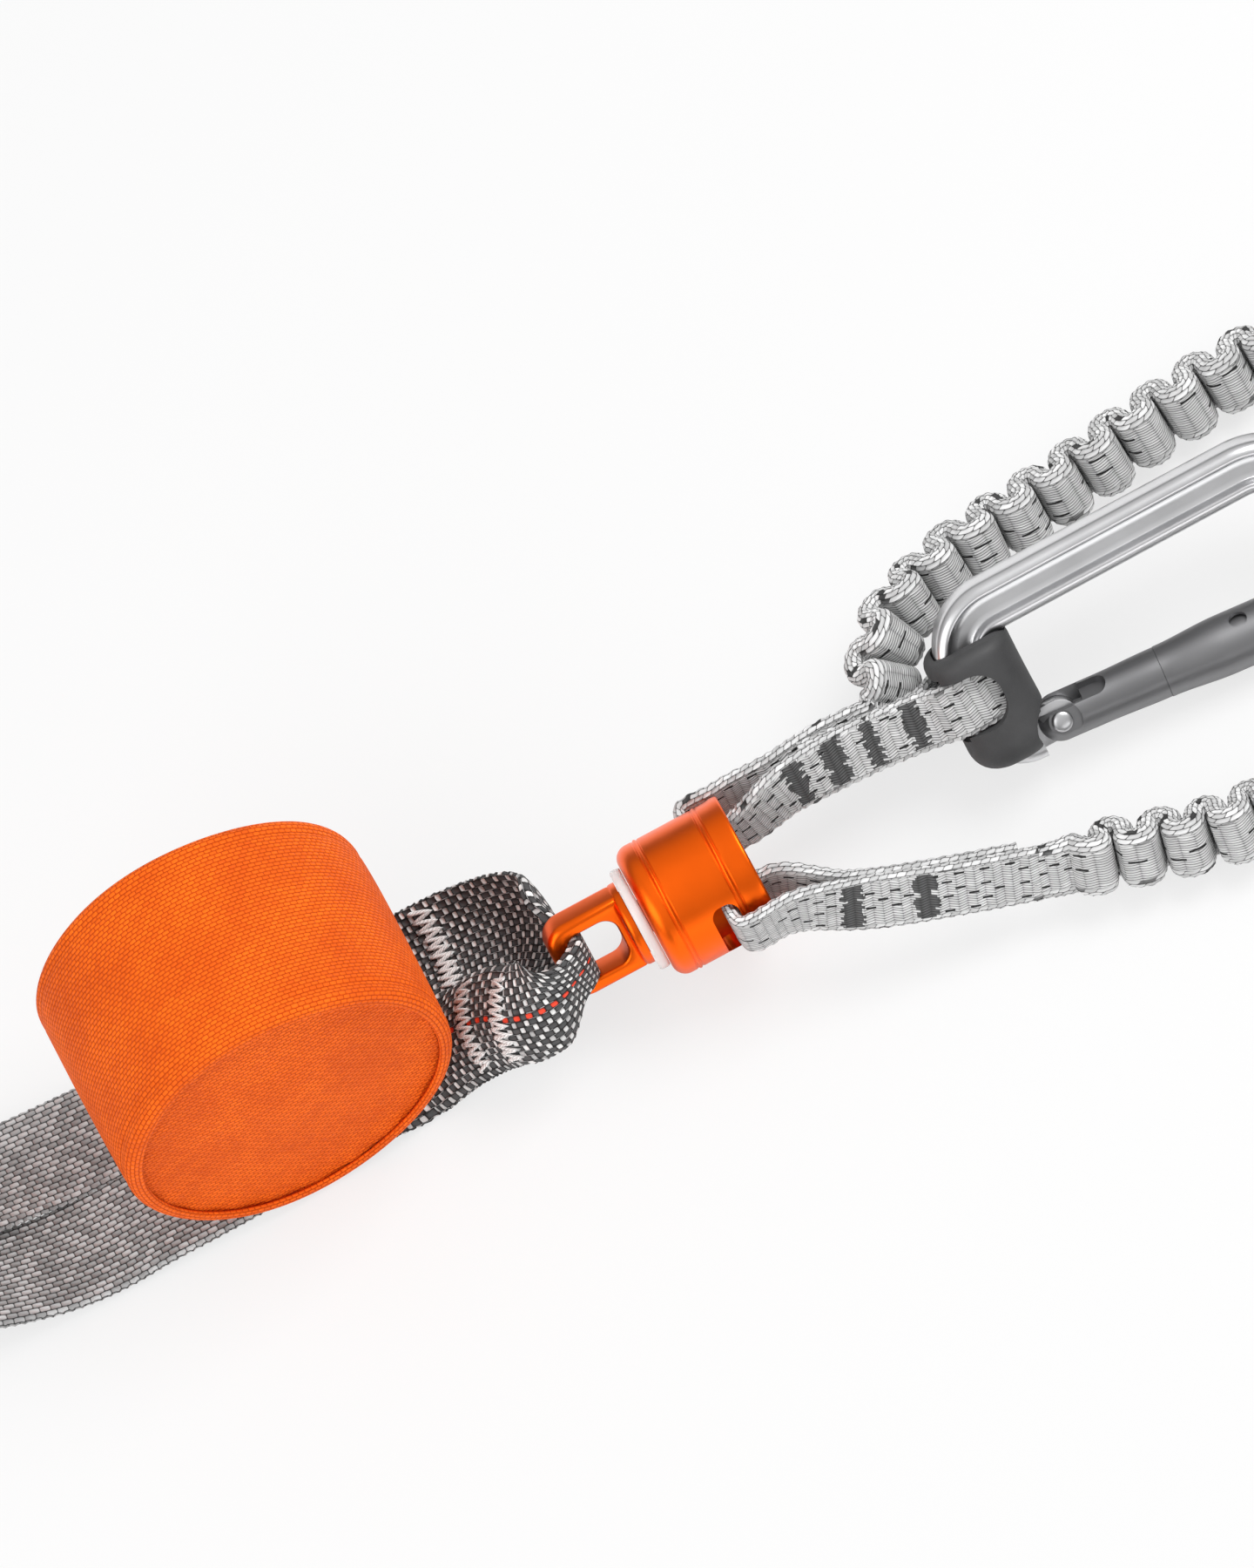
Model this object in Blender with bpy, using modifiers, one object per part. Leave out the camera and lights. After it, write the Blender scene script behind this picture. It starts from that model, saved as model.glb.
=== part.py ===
"""Via ferrata lanyard: absorber pouch, swivel, two elastic arms, a small rest carabiner and two palm-lock
connectors. Metres, +Z up. The lanyard lies on a floor at Z = 0, stretched out along X, pouch at -X.
The places below count from the outer washer of the swivel, and the whole model is moved at the end, so
that the middle of the lanyard's own box stands at X = Y = 0."""
import math

import bmesh
import bpy
import numpy as np
from mathutils import Matrix, Vector

# Fits shared by all pieces
face_gap = 0.0003
running_gap = 0.0004
cut_overrun = 0.002
weld_distance = 0.00001
round_sides = 32
small_sides = 16
arc_steps = 6

# Absorber pouch: a fabric drum that lies on its side, its axis along Y
pouch_radius = 0.040
pouch_length = 0.052
pouch_wall = 0.0016
pouch_edge_round = 0.0030
pouch_lip = 0.0022
pouch_panel_recess = 0.0012
pouch_panel_crown = 0.0016
pouch_from_washer = 0.0882
pouch_behind_washer = 0.0166

# Tear webbing, rolled up inside the pouch
roll_turns = 5
roll_points_per_turn = 20
roll_inner_radius = 0.0190
roll_webbing_thickness = 0.0028
roll_wall_gap = 0.0005
roll_width = 0.0450
roll_tail_length = 0.0150
slot_start_share = 0.2

# Black webbing loop between the pouch and the swivel eye
swivel_loop_width = 0.0235
swivel_loop_thickness = 0.0024
swivel_loop_leg_gap = 0.0008
swivel_loop_fold_thickness = 0.0034

# Grey tie-in loop
tie_in_width = 0.0235
tie_in_thickness = 0.0026
tie_in_leg_gap = 0.0010
tie_in_reach = 0.150
tie_in_bight_radius = 0.0110

# Swivel eye, washers, nut and body, all on one axis along X
swivel_axis_height = 0.0250
eye_width = 0.0196
eye_thickness = 0.0080
eye_length = 0.0200
eye_bar = 0.0036
eye_corner_radius = 0.0045
eye_edge_round = 0.0012
eye_lean = math.radians(30.0)
eye_disc_radius = 0.0100
eye_disc_thickness = 0.0022
washer_radius = 0.0122
washer_thickness = 0.0015
collar_radius = 0.0076
collar_length = 0.0010
stem_radius = 0.0040
body_radius = 0.0160
body_length = 0.0265
body_shoulder_length = 0.0039
body_shoulder_drop = 0.0029
body_rim_chamfer = 0.0011
body_rim_length = 0.0028
body_groove_depth = 0.0004
body_groove_width = 0.0007
body_wall = 0.0034
body_floor_thickness = 0.0080
window_rim_width = 0.0074
window_length = 0.0064
window_width = 0.0172
window_corner_radius = 0.0024
window_lean = math.radians(5.0)
thrust_washer_thickness = 0.0010
thrust_washer_radius = 0.0074
nut_radius = 0.0064
nut_length = 0.0034
lock_pin_radius = 0.0008

# Webbing of the arms: tubular elastic webbing, sewn flat near the swivel and folded like a bellows beyond
arm_width = 0.0136
arm_thickness = 0.0028
arm_layer_gap = 0.0004
arm_lean = math.radians(33.0)
bellows_width = 0.0144
bellows_thickness = 0.0026
bellows_pitch = 0.0112
bellows_depth = 0.0106
bellows_points_per_fold = 8
bellows_start = 0.0090
bellows_butt_gap = 0.0006
stack_start = 0.0460
upper_stack_end = 0.0634
upper_bellows_lead = 0.0026
rest_fan_start = 0.0780
lower_stack_end = 0.0840
lower_cut_end = 0.0800
fan_length = 0.0130
end_stack_start = 0.0090

# Small locking carabiner in the upper arm's short loop. A clip lies in its own XY plane: its gate's hinge is
# the origin, the gate runs along +X to the nose, and the spine is on the +Y side
rest_bar_width = 0.0120
rest_bar_height = 0.0104
rest_small_end = 0.0135
rest_spine = 0.0312
rest_big_end = 0.0770
rest_hinge_corner = 0.0068
rest_small_corner = 0.0110
rest_grip = 0.0146
rest_big_corner = 0.0170
rest_nose_corner = 0.0095
rest_gate_radius = 0.0056
rest_gate_length = 0.0605
rest_gate_splay = math.radians(5.0)
rest_lean = math.radians(45.0)
rest_hinge_x = 0.1042
rest_hinge_y = 0.0021
rest_hinge_z = 0.0116
sleeve_radius = 0.0069
sleeve_start = 0.0250
sleeve_end_gap = 0.0012
sleeve_hole_radius = 0.0021
sleeve_hole_place_share = 0.58
sleeve_stop_length = 0.0024
sleeve_stop_height = 0.0009
sleeve_stop_place_share = 0.78
sleeve_stop_turn = math.radians(-120.0)
sleeve_hole_turn = math.radians(70.0)

# Palm-lock connectors, one on each arm, flat beside each other
palm_bar_width = 0.0125
palm_bar_height = 0.0115
palm_small_end = 0.0160
palm_spine = 0.0480
palm_big_end = 0.1080
palm_hinge_corner = 0.0080
palm_small_corner = 0.0190
palm_grip = 0.0180
palm_big_corner = 0.0250
palm_nose_corner = 0.0130
palm_gate_radius = 0.0062
palm_gate_length = 0.0850
palm_gate_splay = math.radians(7.0)
palm_height = 0.0118
lever_pivot_x = 0.0130
lever_length = 0.0620
lever_wall = 0.0030
lever_side_clearance = 0.0005
lever_spine_clearance = 0.0010
lever_travel = math.radians(5.0)
lever_tail = 0.0050
lever_cheek_depth = 0.0040
lever_crown = 0.0050
lever_slope_share = 0.45
lever_crown_steps = 6

# What all clips share
bar_edge_round = 0.0022
bar_groove_depth = 0.0022
bar_groove_half_width = 0.0026
bar_groove_slope = 0.0009
tongue_radius = 0.0044
tongue_thickness = 0.0034
fork_slot_gap = 0.0004
fork_cheek = 0.0026
rivet_radius = 0.0016
rivet_head_radius = 0.0024
rivet_head_height = 0.0008
rivet_head_crown = 0.0004
spring_bore_radius = 0.0026
spring_bore_depth = 0.0150
spring_wire = 0.0004
spring_coil_radius = 0.0019
spring_turns = 5
spring_points_per_turn = 8
pusher_length = 0.0042
pusher_tip_length = 0.0014
pusher_tip_radius = 0.0014
spring_sides = 4
rivet_sides = 10
frame_arc_steps = 4
nose_gap = 0.0007
gate_end_round = 0.0012
gate_end_steps = 4
groove_fade = 0.0080

# Rubber keepers over the webbing at a clip's small end
keeper_wall = 0.0030
keeper_end_wall = 0.0042
keeper_mouth_reach = 0.0022
keeper_lip = 0.0016
keeper_bar_gap = 0.0004
keeper_round_share = 0.30
keeper_inside_wall = 0.0024
keeper_corner_steps = 4
keeper_small_corner = 0.0046
keeper_low_wall = 0.0012
keeper_edge_round = 0.0030
palm_keeper_wall = 0.0022
palm_keeper_edge_round = 0.0018

# Routes, in shares of one length: along the lanyard, towards the camera's side, up, and the webbing's lean
# from upright in degrees
route_length = 0.100
upper_stack_shares = (
    (0.38, -0.118, 0.250, 28), (0.45, -0.133, 0.250, 31), (0.60, -0.147, 0.244, 37), (0.70, -0.136, 0.229, 43),
)
lower_stack_shares = (
    (0.38, 0.180, 0.236, 31), (0.45, 0.208, 0.228, 33), (0.60, 0.255, 0.197, 33), (0.75, 0.287, 0.157, 33),
    (0.88, 0.318, 0.125, 33),
)
upper_bellows_shares = (
    (0.688, -0.166, 0.212, 42), (0.720, -0.202, 0.214, 40), (0.752, -0.294, 0.220, 37), (0.80, -0.364, 0.212, 35),
    (0.86, -0.412, 0.192, 33), (0.94, -0.452, 0.168, 33), (1.03, -0.486, 0.150, 33), (1.14, -0.507, 0.130, 33),
    (1.30, -0.535, 0.112, 33), (1.50, -0.570, 0.100, 33), (1.76, -0.595, 0.096, 33),
    (2.06, -0.595, 0.096, 33), (2.34, -0.590, 0.096, 33), (2.54, -0.545, 0.096, 33),
    (2.64, -0.440, 0.096, 33), (2.61, -0.310, 0.096, 33), (2.47, -0.235, 0.096, 33),
    (2.31, -0.227, 0.096, 33), (2.15, -0.190, 0.096, 33), (2.04, -0.105, 0.096, 33),
    (1.995, 0.005, 0.096, 33), (2.04, 0.095, 0.098, 36), (2.17, 0.120, 0.102, 45),
)
lower_bellows_shares = (
    (1.05, 0.365, 0.105, 33), (1.25, 0.424, 0.098, 33), (1.48, 0.435, 0.096, 33), (1.75, 0.395, 0.096, 33),
    (2.00, 0.362, 0.096, 33), (2.21, 0.385, 0.096, 33), (2.34, 0.500, 0.096, 33), (2.34, 0.650, 0.096, 33),
    (2.20, 0.745, 0.096, 33), (2.00, 0.760, 0.096, 33), (1.82, 0.770, 0.096, 33), (1.67, 0.830, 0.096, 33),
    (1.59, 0.950, 0.096, 33), (1.61, 1.100, 0.096, 33), (1.74, 1.180, 0.096, 33), (1.88, 1.130, 0.097, 34),
    (2.00, 1.040, 0.098, 38), (2.17, 1.000, 0.102, 45),
)
upper_palm_place_shares = (2.73, 0.31)
lower_palm_place_shares = (2.73, 1.19)
swivel_loop_shares = (
    (-0.66, -0.166, 0.038, 88), (-0.58, -0.160, 0.055, 84), (-0.47, -0.130, 0.100, 76),
    (-0.35, -0.075, 0.165, 58), (-0.28, -0.020, 0.228, 38), (-0.23, 0.000, 0.250, 30),
    (-0.18, 0.000, 0.250, 30), (0.00, 0.000, 0.250, 30),
)
tie_in_shares = (
    (-1.14, -0.166, 0.034, 90), (-1.28, -0.168, 0.034, 90), (-1.45, -0.172, 0.036, 90),
    (-1.72, -0.178, 0.088, 75), (-2.00, -0.185, 0.140, 35), (-2.20, -0.185, 0.126, 0),
    (-2.50, -0.185, 0.126, 0),
)
route_steps_per_span = 24

orange_cloth = (0.90, 0.17, 0.02)
orange_metal = (0.85, 0.16, 0.02)
grey_webbing = (0.52, 0.52, 0.51)
black_webbing = (0.045, 0.045, 0.05)
clear_plastic = (0.85, 0.83, 0.82)
black_rubber = (0.045, 0.045, 0.048)
silver_metal = (0.62, 0.62, 0.61)
dark_metal = (0.10, 0.10, 0.105)
steel = (0.55, 0.55, 0.55)


def clear_scene():
    for old in list(bpy.data.objects):
        bpy.data.objects.remove(old, do_unlink=True)


def new_collection(name):
    collection = bpy.data.collections.new(name)
    bpy.context.scene.collection.children.link(collection)
    return collection


def finish_material(name, colour, roughness, metallic=0.0):
    material = bpy.data.materials.new(name)
    material.use_nodes = True
    shader = material.node_tree.nodes["Principled BSDF"]
    shader.inputs["Base Color"].default_value = (*colour, 1.0)
    shader.inputs["Roughness"].default_value = roughness
    shader.inputs["Metallic"].default_value = metallic
    return material


clear_scene()
parts = new_collection("via_ferrata_lanyard")
cutters = new_collection("cutters")


def add_piece(name, mesh, material=None, hidden=False):
    """Put a mesh into the scene: a visible piece with a material, or a cutter."""
    piece = bpy.data.objects.new(name, mesh)
    if hidden:
        cutters.objects.link(piece)
        piece.hide_render = True
        piece.display_type = "WIRE"
    else:
        parts.objects.link(piece)
        mesh.materials.append(material)
    return piece


def bm_mesh(name, bm):
    mesh = bpy.data.meshes.new(name)
    bm.to_mesh(mesh)
    bm.free()
    return mesh


def box_mesh(name, low, high):
    """An upright box between two corners."""
    low, high = Vector(low), Vector(high)
    bm = bmesh.new()
    bmesh.ops.create_cube(bm, size=1.0)
    bmesh.ops.scale(bm, vec=high - low, verts=bm.verts)
    bmesh.ops.translate(bm, vec=(low + high) / 2, verts=bm.verts)
    return bm_mesh(name, bm)


def rod_mesh(name, radius, start, end, sides=small_sides):
    """A cylinder between two points."""
    start, end = Vector(start), Vector(end)
    bm = bmesh.new()
    bmesh.ops.create_cone(
        bm, cap_ends=True, segments=sides, radius1=radius, radius2=radius, depth=(end - start).length
    )
    turn = (end - start).to_track_quat("Z", "Y").to_matrix().to_4x4()
    bmesh.ops.transform(bm, matrix=Matrix.Translation((start + end) / 2) @ turn, verts=bm.verts)
    return bm_mesh(name, bm)


def boolean(piece, other, operation="DIFFERENCE"):
    modifier = piece.modifiers.new(other.name, "BOOLEAN")
    modifier.operation = operation
    modifier.object = other
    modifier.solver = "EXACT"
    return modifier


def turned_mesh(name, profile, sides=round_sides):
    """Turn a closed profile of (radius, height) points about Z with a Screw, and keep the mesh."""
    profile_mesh = bpy.data.meshes.new(name)
    count = len(profile)
    on_axis = [radius == 0 for radius, _ in profile]
    edges = []
    for index in range(count):
        after = (index + 1) % count
        if not (on_axis[index] and on_axis[after]):
            edges.append((index, after))
    profile_mesh.from_pydata([(radius, 0, height) for radius, height in profile], edges, [])
    holder = bpy.data.objects.new(name, profile_mesh)
    cutters.objects.link(holder)
    screw = holder.modifiers.new("turn", "SCREW")
    screw.steps = sides
    screw.render_steps = sides
    screw.use_merge_vertices = True
    screw.merge_threshold = weld_distance
    mesh = evaluated_mesh(holder)
    bpy.data.objects.remove(holder)
    return mesh


def evaluated_mesh(holder):
    """The mesh of an object after its modifiers, welded, its faces pointing out."""
    bpy.context.view_layer.update()
    graph = bpy.context.evaluated_depsgraph_get()
    mesh = bpy.data.meshes.new_from_object(holder.evaluated_get(graph))
    bm = bmesh.new()
    bm.from_mesh(mesh)
    bmesh.ops.remove_doubles(bm, verts=bm.verts, dist=weld_distance)
    bmesh.ops.recalc_face_normals(bm, faces=bm.faces)
    bm.to_mesh(mesh)
    bm.free()
    return mesh


def lay_along(mesh, axis, origin=(0, 0, 0)):
    """Turn a mesh made about Z so that its Z points along an axis, then move it."""
    turn = Vector((0, 0, 1)).rotation_difference(Vector(axis)).to_matrix().to_4x4()
    mesh.transform(Matrix.Translation(Vector(origin)) @ turn)
    return mesh


def outline_mesh(name, points, half_height):
    """A flat outline filled and thickened both ways, from a 2D curve."""
    curve = bpy.data.curves.new(name, "CURVE")
    curve.dimensions = "2D"
    curve.fill_mode = "BOTH"
    curve.extrude = half_height
    spline = curve.splines.new("POLY")
    spline.points.add(len(points) - 1)
    for point, (x, y) in zip(spline.points, points):
        point.co = (x, y, 0, 1)
    spline.use_cyclic_u = True
    holder = bpy.data.objects.new(name, curve)
    cutters.objects.link(holder)
    mesh = evaluated_mesh(holder)
    bpy.data.objects.remove(holder)
    return mesh


def rounded_path(corners, radii, steps=arc_steps):
    """A path through corner points, each inner corner rounded by an arc of its radius."""
    corners = [np.array(corner, float) for corner in corners]
    path = [corners[0]]
    for before, corner, after, radius in zip(corners, corners[1:], corners[2:], radii):
        into = (before - corner) / np.linalg.norm(before - corner)
        out = (after - corner) / np.linalg.norm(after - corner)
        half = math.acos(np.clip(into @ out, -1, 1)) / 2
        centre = corner + (into + out) / np.linalg.norm(into + out) * radius / math.sin(half)
        first = corner + into * radius / math.tan(half) - centre
        last = corner + out * radius / math.tan(half) - centre
        sweep = math.pi - 2 * half
        for step in range(steps + 1):
            share = step / steps
            blend = (math.sin((1 - share) * sweep) * first + math.sin(share * sweep) * last) / math.sin(sweep)
            path.append(centre + blend)
    path.append(corners[-1])
    return np.array(path)


class Route:
    """A smooth curve through a table of places, with the webbing's lean along it."""

    def __init__(self, table):
        table = np.array(table, float)
        knots = np.vstack([2 * table[0] - table[1], table, 2 * table[-1] - table[-2]])
        share = np.linspace(0, 1, route_steps_per_span, endpoint=False)[:, None]
        spans = []
        for one, two, three, four in zip(knots, knots[1:], knots[2:], knots[3:]):
            spans.append(
                0.5 * (2 * two + (three - one) * share + (2 * one - 5 * two + 4 * three - four) * share**2
                       + (3 * two - one - 3 * three + four) * share**3)
            )
        rows = np.vstack(spans + [table[-1:]])
        self.places = rows[:, :3] * (1, -1, 1)
        self.leans = np.radians(rows[:, 3])
        steps = np.linalg.norm(np.diff(self.places, axis=0), axis=1)
        self.distances = np.concatenate([[0], np.cumsum(steps)])
        self.length = self.distances[-1]

    def at_x(self, x):
        """The distance along the route at a place along the lanyard."""
        order = np.argsort(self.places[:, 0])
        return float(np.interp(x, self.places[order, 0], self.distances[order]))

    def frames(self, along):
        """Places, directions across the webbing and out of its face at distances along the route."""
        along = np.asarray(along, float)
        inside = np.clip(along, 0, self.length)
        places = np.stack([np.interp(inside, self.distances, self.places[:, axis]) for axis in range(3)], 1)
        slopes = np.gradient(self.places, self.distances, axis=0)
        tangents = np.stack([np.interp(inside, self.distances, slopes[:, axis]) for axis in range(3)], 1)
        tangents /= np.linalg.norm(tangents, axis=1)[:, None]
        places = places + tangents * (along - inside)[:, None]
        leans = np.interp(inside, self.distances, self.leans)
        sideways = np.cross((0, 0, 1), tangents)
        sideways /= np.linalg.norm(sideways, axis=1)[:, None]
        upright = np.cross(tangents, sideways)
        acrosses = upright * np.cos(leans)[:, None] + sideways * np.sin(leans)[:, None]
        return places, acrosses, np.cross(tangents, acrosses)


def in_route_units(shares):
    """A table of shares as places in metres, the lean left in degrees."""
    return [(x * route_length, y * route_length, z * route_length, lean) for x, y, z, lean in shares]


def webbing_mesh(name, centres, acrosses, widths, thicknesses, edge_share=0.12, corners=6):
    """A strip of webbing lofted along its centre line: at each place a flat section, turned with it."""
    centres = np.asarray(centres, float)
    count = len(centres)
    tangents = np.gradient(centres, axis=0)
    tangents /= np.linalg.norm(tangents, axis=1)[:, None]
    across = acrosses - tangents * np.sum(acrosses * tangents, axis=1)[:, None]
    across /= np.linalg.norm(across, axis=1)[:, None]
    outward = np.cross(tangents, across)
    if corners == 6:
        section = [(-1, 0), (-1 + edge_share, 1), (1 - edge_share, 1), (1, 0), (1 - edge_share, -1),
                   (-1 + edge_share, -1)]
    else:
        section = [(-1, -1), (-1, 1), (1, 1), (1, -1)]
    widths = np.broadcast_to(np.asarray(widths, float), count)
    thicknesses = np.broadcast_to(np.asarray(thicknesses, float), count)
    bm = bmesh.new()
    rings = []
    for index in range(count):
        ring = []
        for u, v in section:
            place = centres[index] + across[index] * u * widths[index] / 2
            ring.append(bm.verts.new(place + outward[index] * v * thicknesses[index] / 2))
        rings.append(ring)
    sides = len(section)
    for ring, after in zip(rings, rings[1:]):
        for side in range(sides):
            beside = (side + 1) % sides
            bm.faces.new((ring[side], after[side], after[beside], ring[beside]))
    bm.faces.new(rings[0])
    bm.faces.new(rings[-1])
    bmesh.ops.triangulate(bm, faces=bm.faces)
    bmesh.ops.recalc_face_normals(bm, faces=bm.faces)
    return bm_mesh(name, bm)


def strap_on_route(name, route, stations, widths, thicknesses, **section):
    """Webbing whose centre line is given as (distance along, offset out of the face, offset across)."""
    stations = np.array(stations, float)
    places, acrosses, outs = route.frames(stations[:, 0])
    centres = places + outs * stations[:, 1:2] + acrosses * stations[:, 2:3]
    return webbing_mesh(name, centres, acrosses, widths, thicknesses, **section), centres


def eased(share):
    """A smooth rise from 0 to 1."""
    share = np.clip(share, 0, 1)
    return share * share * (3 - 2 * share)


def print_least_gap(name, centres, thickness, apart):
    """Print the least gap between parts of one strip that lie further apart than a stated run along it."""
    steps = np.linalg.norm(np.diff(centres, axis=0), axis=1)
    runs = np.concatenate([[0], np.cumsum(steps)])
    distance = np.linalg.norm(centres[:, None] - centres[None, :], axis=2)
    far = np.abs(runs[:, None] - runs[None, :]) > apart
    print(f"{name}: least gap to itself {(distance[far].min() - thickness) * 1000:.2f} mm")


cloth = finish_material("pouch cloth", orange_cloth, 0.85)
anodised = finish_material("orange anodised aluminium", orange_metal, 0.30, 1.0)
grey_strap = finish_material("grey webbing", grey_webbing, 0.85)
black_strap = finish_material("black webbing", black_webbing, 0.8)
plastic = finish_material("translucent plastic", clear_plastic, 0.35)
rubber = finish_material("black rubber", black_rubber, 0.6)
silver = finish_material("satin aluminium", silver_metal, 0.35, 1.0)
dark = finish_material("dark anodised aluminium", dark_metal, 0.45, 1.0)
steel_finish = finish_material("steel", steel, 0.3, 1.0)

# Absorber pouch
pouch_x = -pouch_from_washer
pouch_y = pouch_behind_washer
pouch_bore = pouch_radius - pouch_wall
pouch_centre = (pouch_x, pouch_y, pouch_radius)
tail_radius = pouch_bore - roll_wall_gap - roll_webbing_thickness / 2
tail_height = pouch_radius - tail_radius


def arc_points(centre, radius, start, end, steps=arc_steps):
    """Points on an arc in a plane, from one angle to another in degrees."""
    angles = np.radians(np.linspace(start, end, steps + 1))
    return [(centre[0] + radius * math.cos(angle), centre[1] + radius * math.sin(angle)) for angle in angles]


def make_pouch():
    half = pouch_length / 2
    lip_bore = pouch_bore - pouch_lip
    corner = pouch_radius - pouch_edge_round
    profile = arc_points((corner, half - pouch_edge_round), pouch_edge_round, 0, 90)[::-1]
    profile = [(lip_bore, half)] + profile
    profile += arc_points((corner, pouch_edge_round - half), pouch_edge_round, -90, 0)[::-1]
    profile += [(lip_bore, -half), (lip_bore, pouch_panel_recess - half)]
    profile += [(pouch_bore, pouch_panel_recess - half), (pouch_bore, half - pouch_panel_recess)]
    profile += [(lip_bore, half - pouch_panel_recess)]
    side = turned_mesh("pouch_side_panel", profile, sides=36)
    panel = add_piece("pouch_side_panel", lay_along(side, (0, -1, 0), pouch_centre), cloth)
    slot_side = max(swivel_loop_width + swivel_loop_leg_gap, tie_in_width + tie_in_leg_gap) + face_gap
    slot_top = tail_height + roll_webbing_thickness / 2 + 2 * face_gap
    near = roll_tail_length * slot_start_share
    far = roll_tail_length + pouch_edge_round * 3
    for name, low, high in (("loop_slot", near, far), ("tie_in_slot", -far, -near)):
        cutter = box_mesh(
            name, (pouch_x + low, pouch_y - slot_side, -cut_overrun), (pouch_x + high, pouch_y + slot_side, slot_top)
        )
        boolean(panel, add_piece(name, cutter, hidden=True))
    radius = pouch_bore - face_gap
    seat = half - pouch_panel_recess - face_gap
    rings = np.linspace(1, 0, 5)
    outer = [(radius * ring, seat + pouch_panel_crown * (1 - ring**2) ** 2) for ring in rings]
    inner = [(r, height - pouch_wall) for r, height in outer]
    disc = turned_mesh("end_panel", outer[::-1] + inner, sides=36)
    for name, direction in (("pouch_front_panel", -1), ("pouch_back_panel", 1)):
        add_piece(name, lay_along(disc.copy(), (0, direction, 0), pouch_centre), cloth)


def make_tear_webbing():
    """The roll winds outwards and leaves along the floor of the pouch towards the swivel."""
    turns = np.linspace(0, roll_turns, roll_turns * roll_points_per_turn + 1)
    radii = roll_inner_radius + (tail_radius - roll_inner_radius) * turns / roll_turns
    angles = math.radians(-90) + 2 * math.pi * (turns - roll_turns)
    x = pouch_x + radii * np.cos(angles)
    z = pouch_radius + radii * np.sin(angles)
    y = np.full_like(x, pouch_y)
    centres = np.stack([x, y, z], 1)
    tail = [(pouch_x + roll_tail_length * share, pouch_y, tail_height) for share in (0.5, 1.0)]
    centres = np.vstack([centres, tail])
    acrosses = np.tile((0.0, 1.0, 0.0), (len(centres), 1))
    mesh = webbing_mesh("tear_webbing_pack", centres, acrosses, roll_width, roll_webbing_thickness, corners=4)
    add_piece("tear_webbing_pack", mesh, black_strap)
    print_least_gap("tear webbing", centres, roll_webbing_thickness, 3 * roll_webbing_thickness)


def make_swivel_loop():
    """Two legs side by side leave the pouch, turn upright and meet in a bight through the swivel eye."""
    start = (pouch_x + roll_tail_length + face_gap, -pouch_y, tail_height, 90)
    route = Route([start] + in_route_units(swivel_loop_shares))
    half_bar = eye_thickness / 2
    fold = swivel_loop_fold_thickness / 2
    bend = math.hypot(eye_edge_round, eye_edge_round) + 2 * face_gap + fold
    bar_edge = slot_far_x
    corner = route.at_x(bar_edge - eye_edge_round)
    meet = corner - 3 * bend
    spread = (swivel_loop_width + swivel_loop_leg_gap) / 2
    offset = half_bar - eye_edge_round + bend
    leg = [
        (meet * share, offset * eased(share * 1.05), spread * (1 - eased(share * 1.25 - 0.1)))
        for share in np.linspace(0, 1, 12)
    ]
    bight = [(corner + y, x, 0) for x, y in arc_points((half_bar - eye_edge_round, 0), bend, 0, 90)]
    half_path = leg + bight
    front = [(along, out, -side) for along, out, side in half_path]
    back = [(along, -out, side) for along, out, side in half_path[::-1]]
    narrow = eye_width - 2 * eye_bar - 4 * face_gap
    shares = eased(np.array([along for along, _, _ in half_path]) / meet * 1.6 - 0.6)
    widths = swivel_loop_width + (narrow - swivel_loop_width) * shares
    thicknesses = swivel_loop_thickness + (swivel_loop_fold_thickness - swivel_loop_thickness) * shares
    mesh, _ = strap_on_route(
        "swivel_loop_webbing", route, front + back, np.concatenate([widths, widths[::-1]]),
        np.concatenate([thicknesses, thicknesses[::-1]]),
    )
    add_piece("swivel_loop_webbing", mesh, black_strap)


def make_tie_in_loop():
    """Two legs side by side leave the pouch the other way and meet in an open upright bight."""
    start = (pouch_x - roll_tail_length, -pouch_y, tail_height, 90)
    route = Route([start] + in_route_units(tie_in_shares))
    spread = (tie_in_width + tie_in_leg_gap) / 2
    leg = [
        (tie_in_reach * share, tie_in_bight_radius * eased(share * 1.1 - 0.1), spread * (1 - eased(share * 1.8 - 0.5)))
        for share in np.linspace(0, 1, 14)
    ]
    bight = [(tie_in_reach + y, x, 0) for x, y in arc_points((0, 0), tie_in_bight_radius, 0, 90)]
    half_path = leg + bight[1:]
    front = [(along, out, -side) for along, out, side in half_path]
    back = [(along, -out, side) for along, out, side in half_path[-2::-1]]
    mesh, _ = strap_on_route("tie_in_loop_webbing", route, front + back, tie_in_width, tie_in_thickness)
    add_piece("tie_in_loop_webbing", mesh, grey_strap)


# Swivel
disc_back = -washer_thickness / 2 - face_gap
disc_front = disc_back - eye_disc_thickness
plate_end = disc_back - eye_length
slot_far_x = plate_end + eye_bar
body_start = washer_thickness / 2 + collar_length
body_end = body_start + body_length
body_bore = body_radius - body_wall
cavity_start = body_start + body_floor_thickness
swivel_centre = Vector((0, 0, swivel_axis_height))


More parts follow.
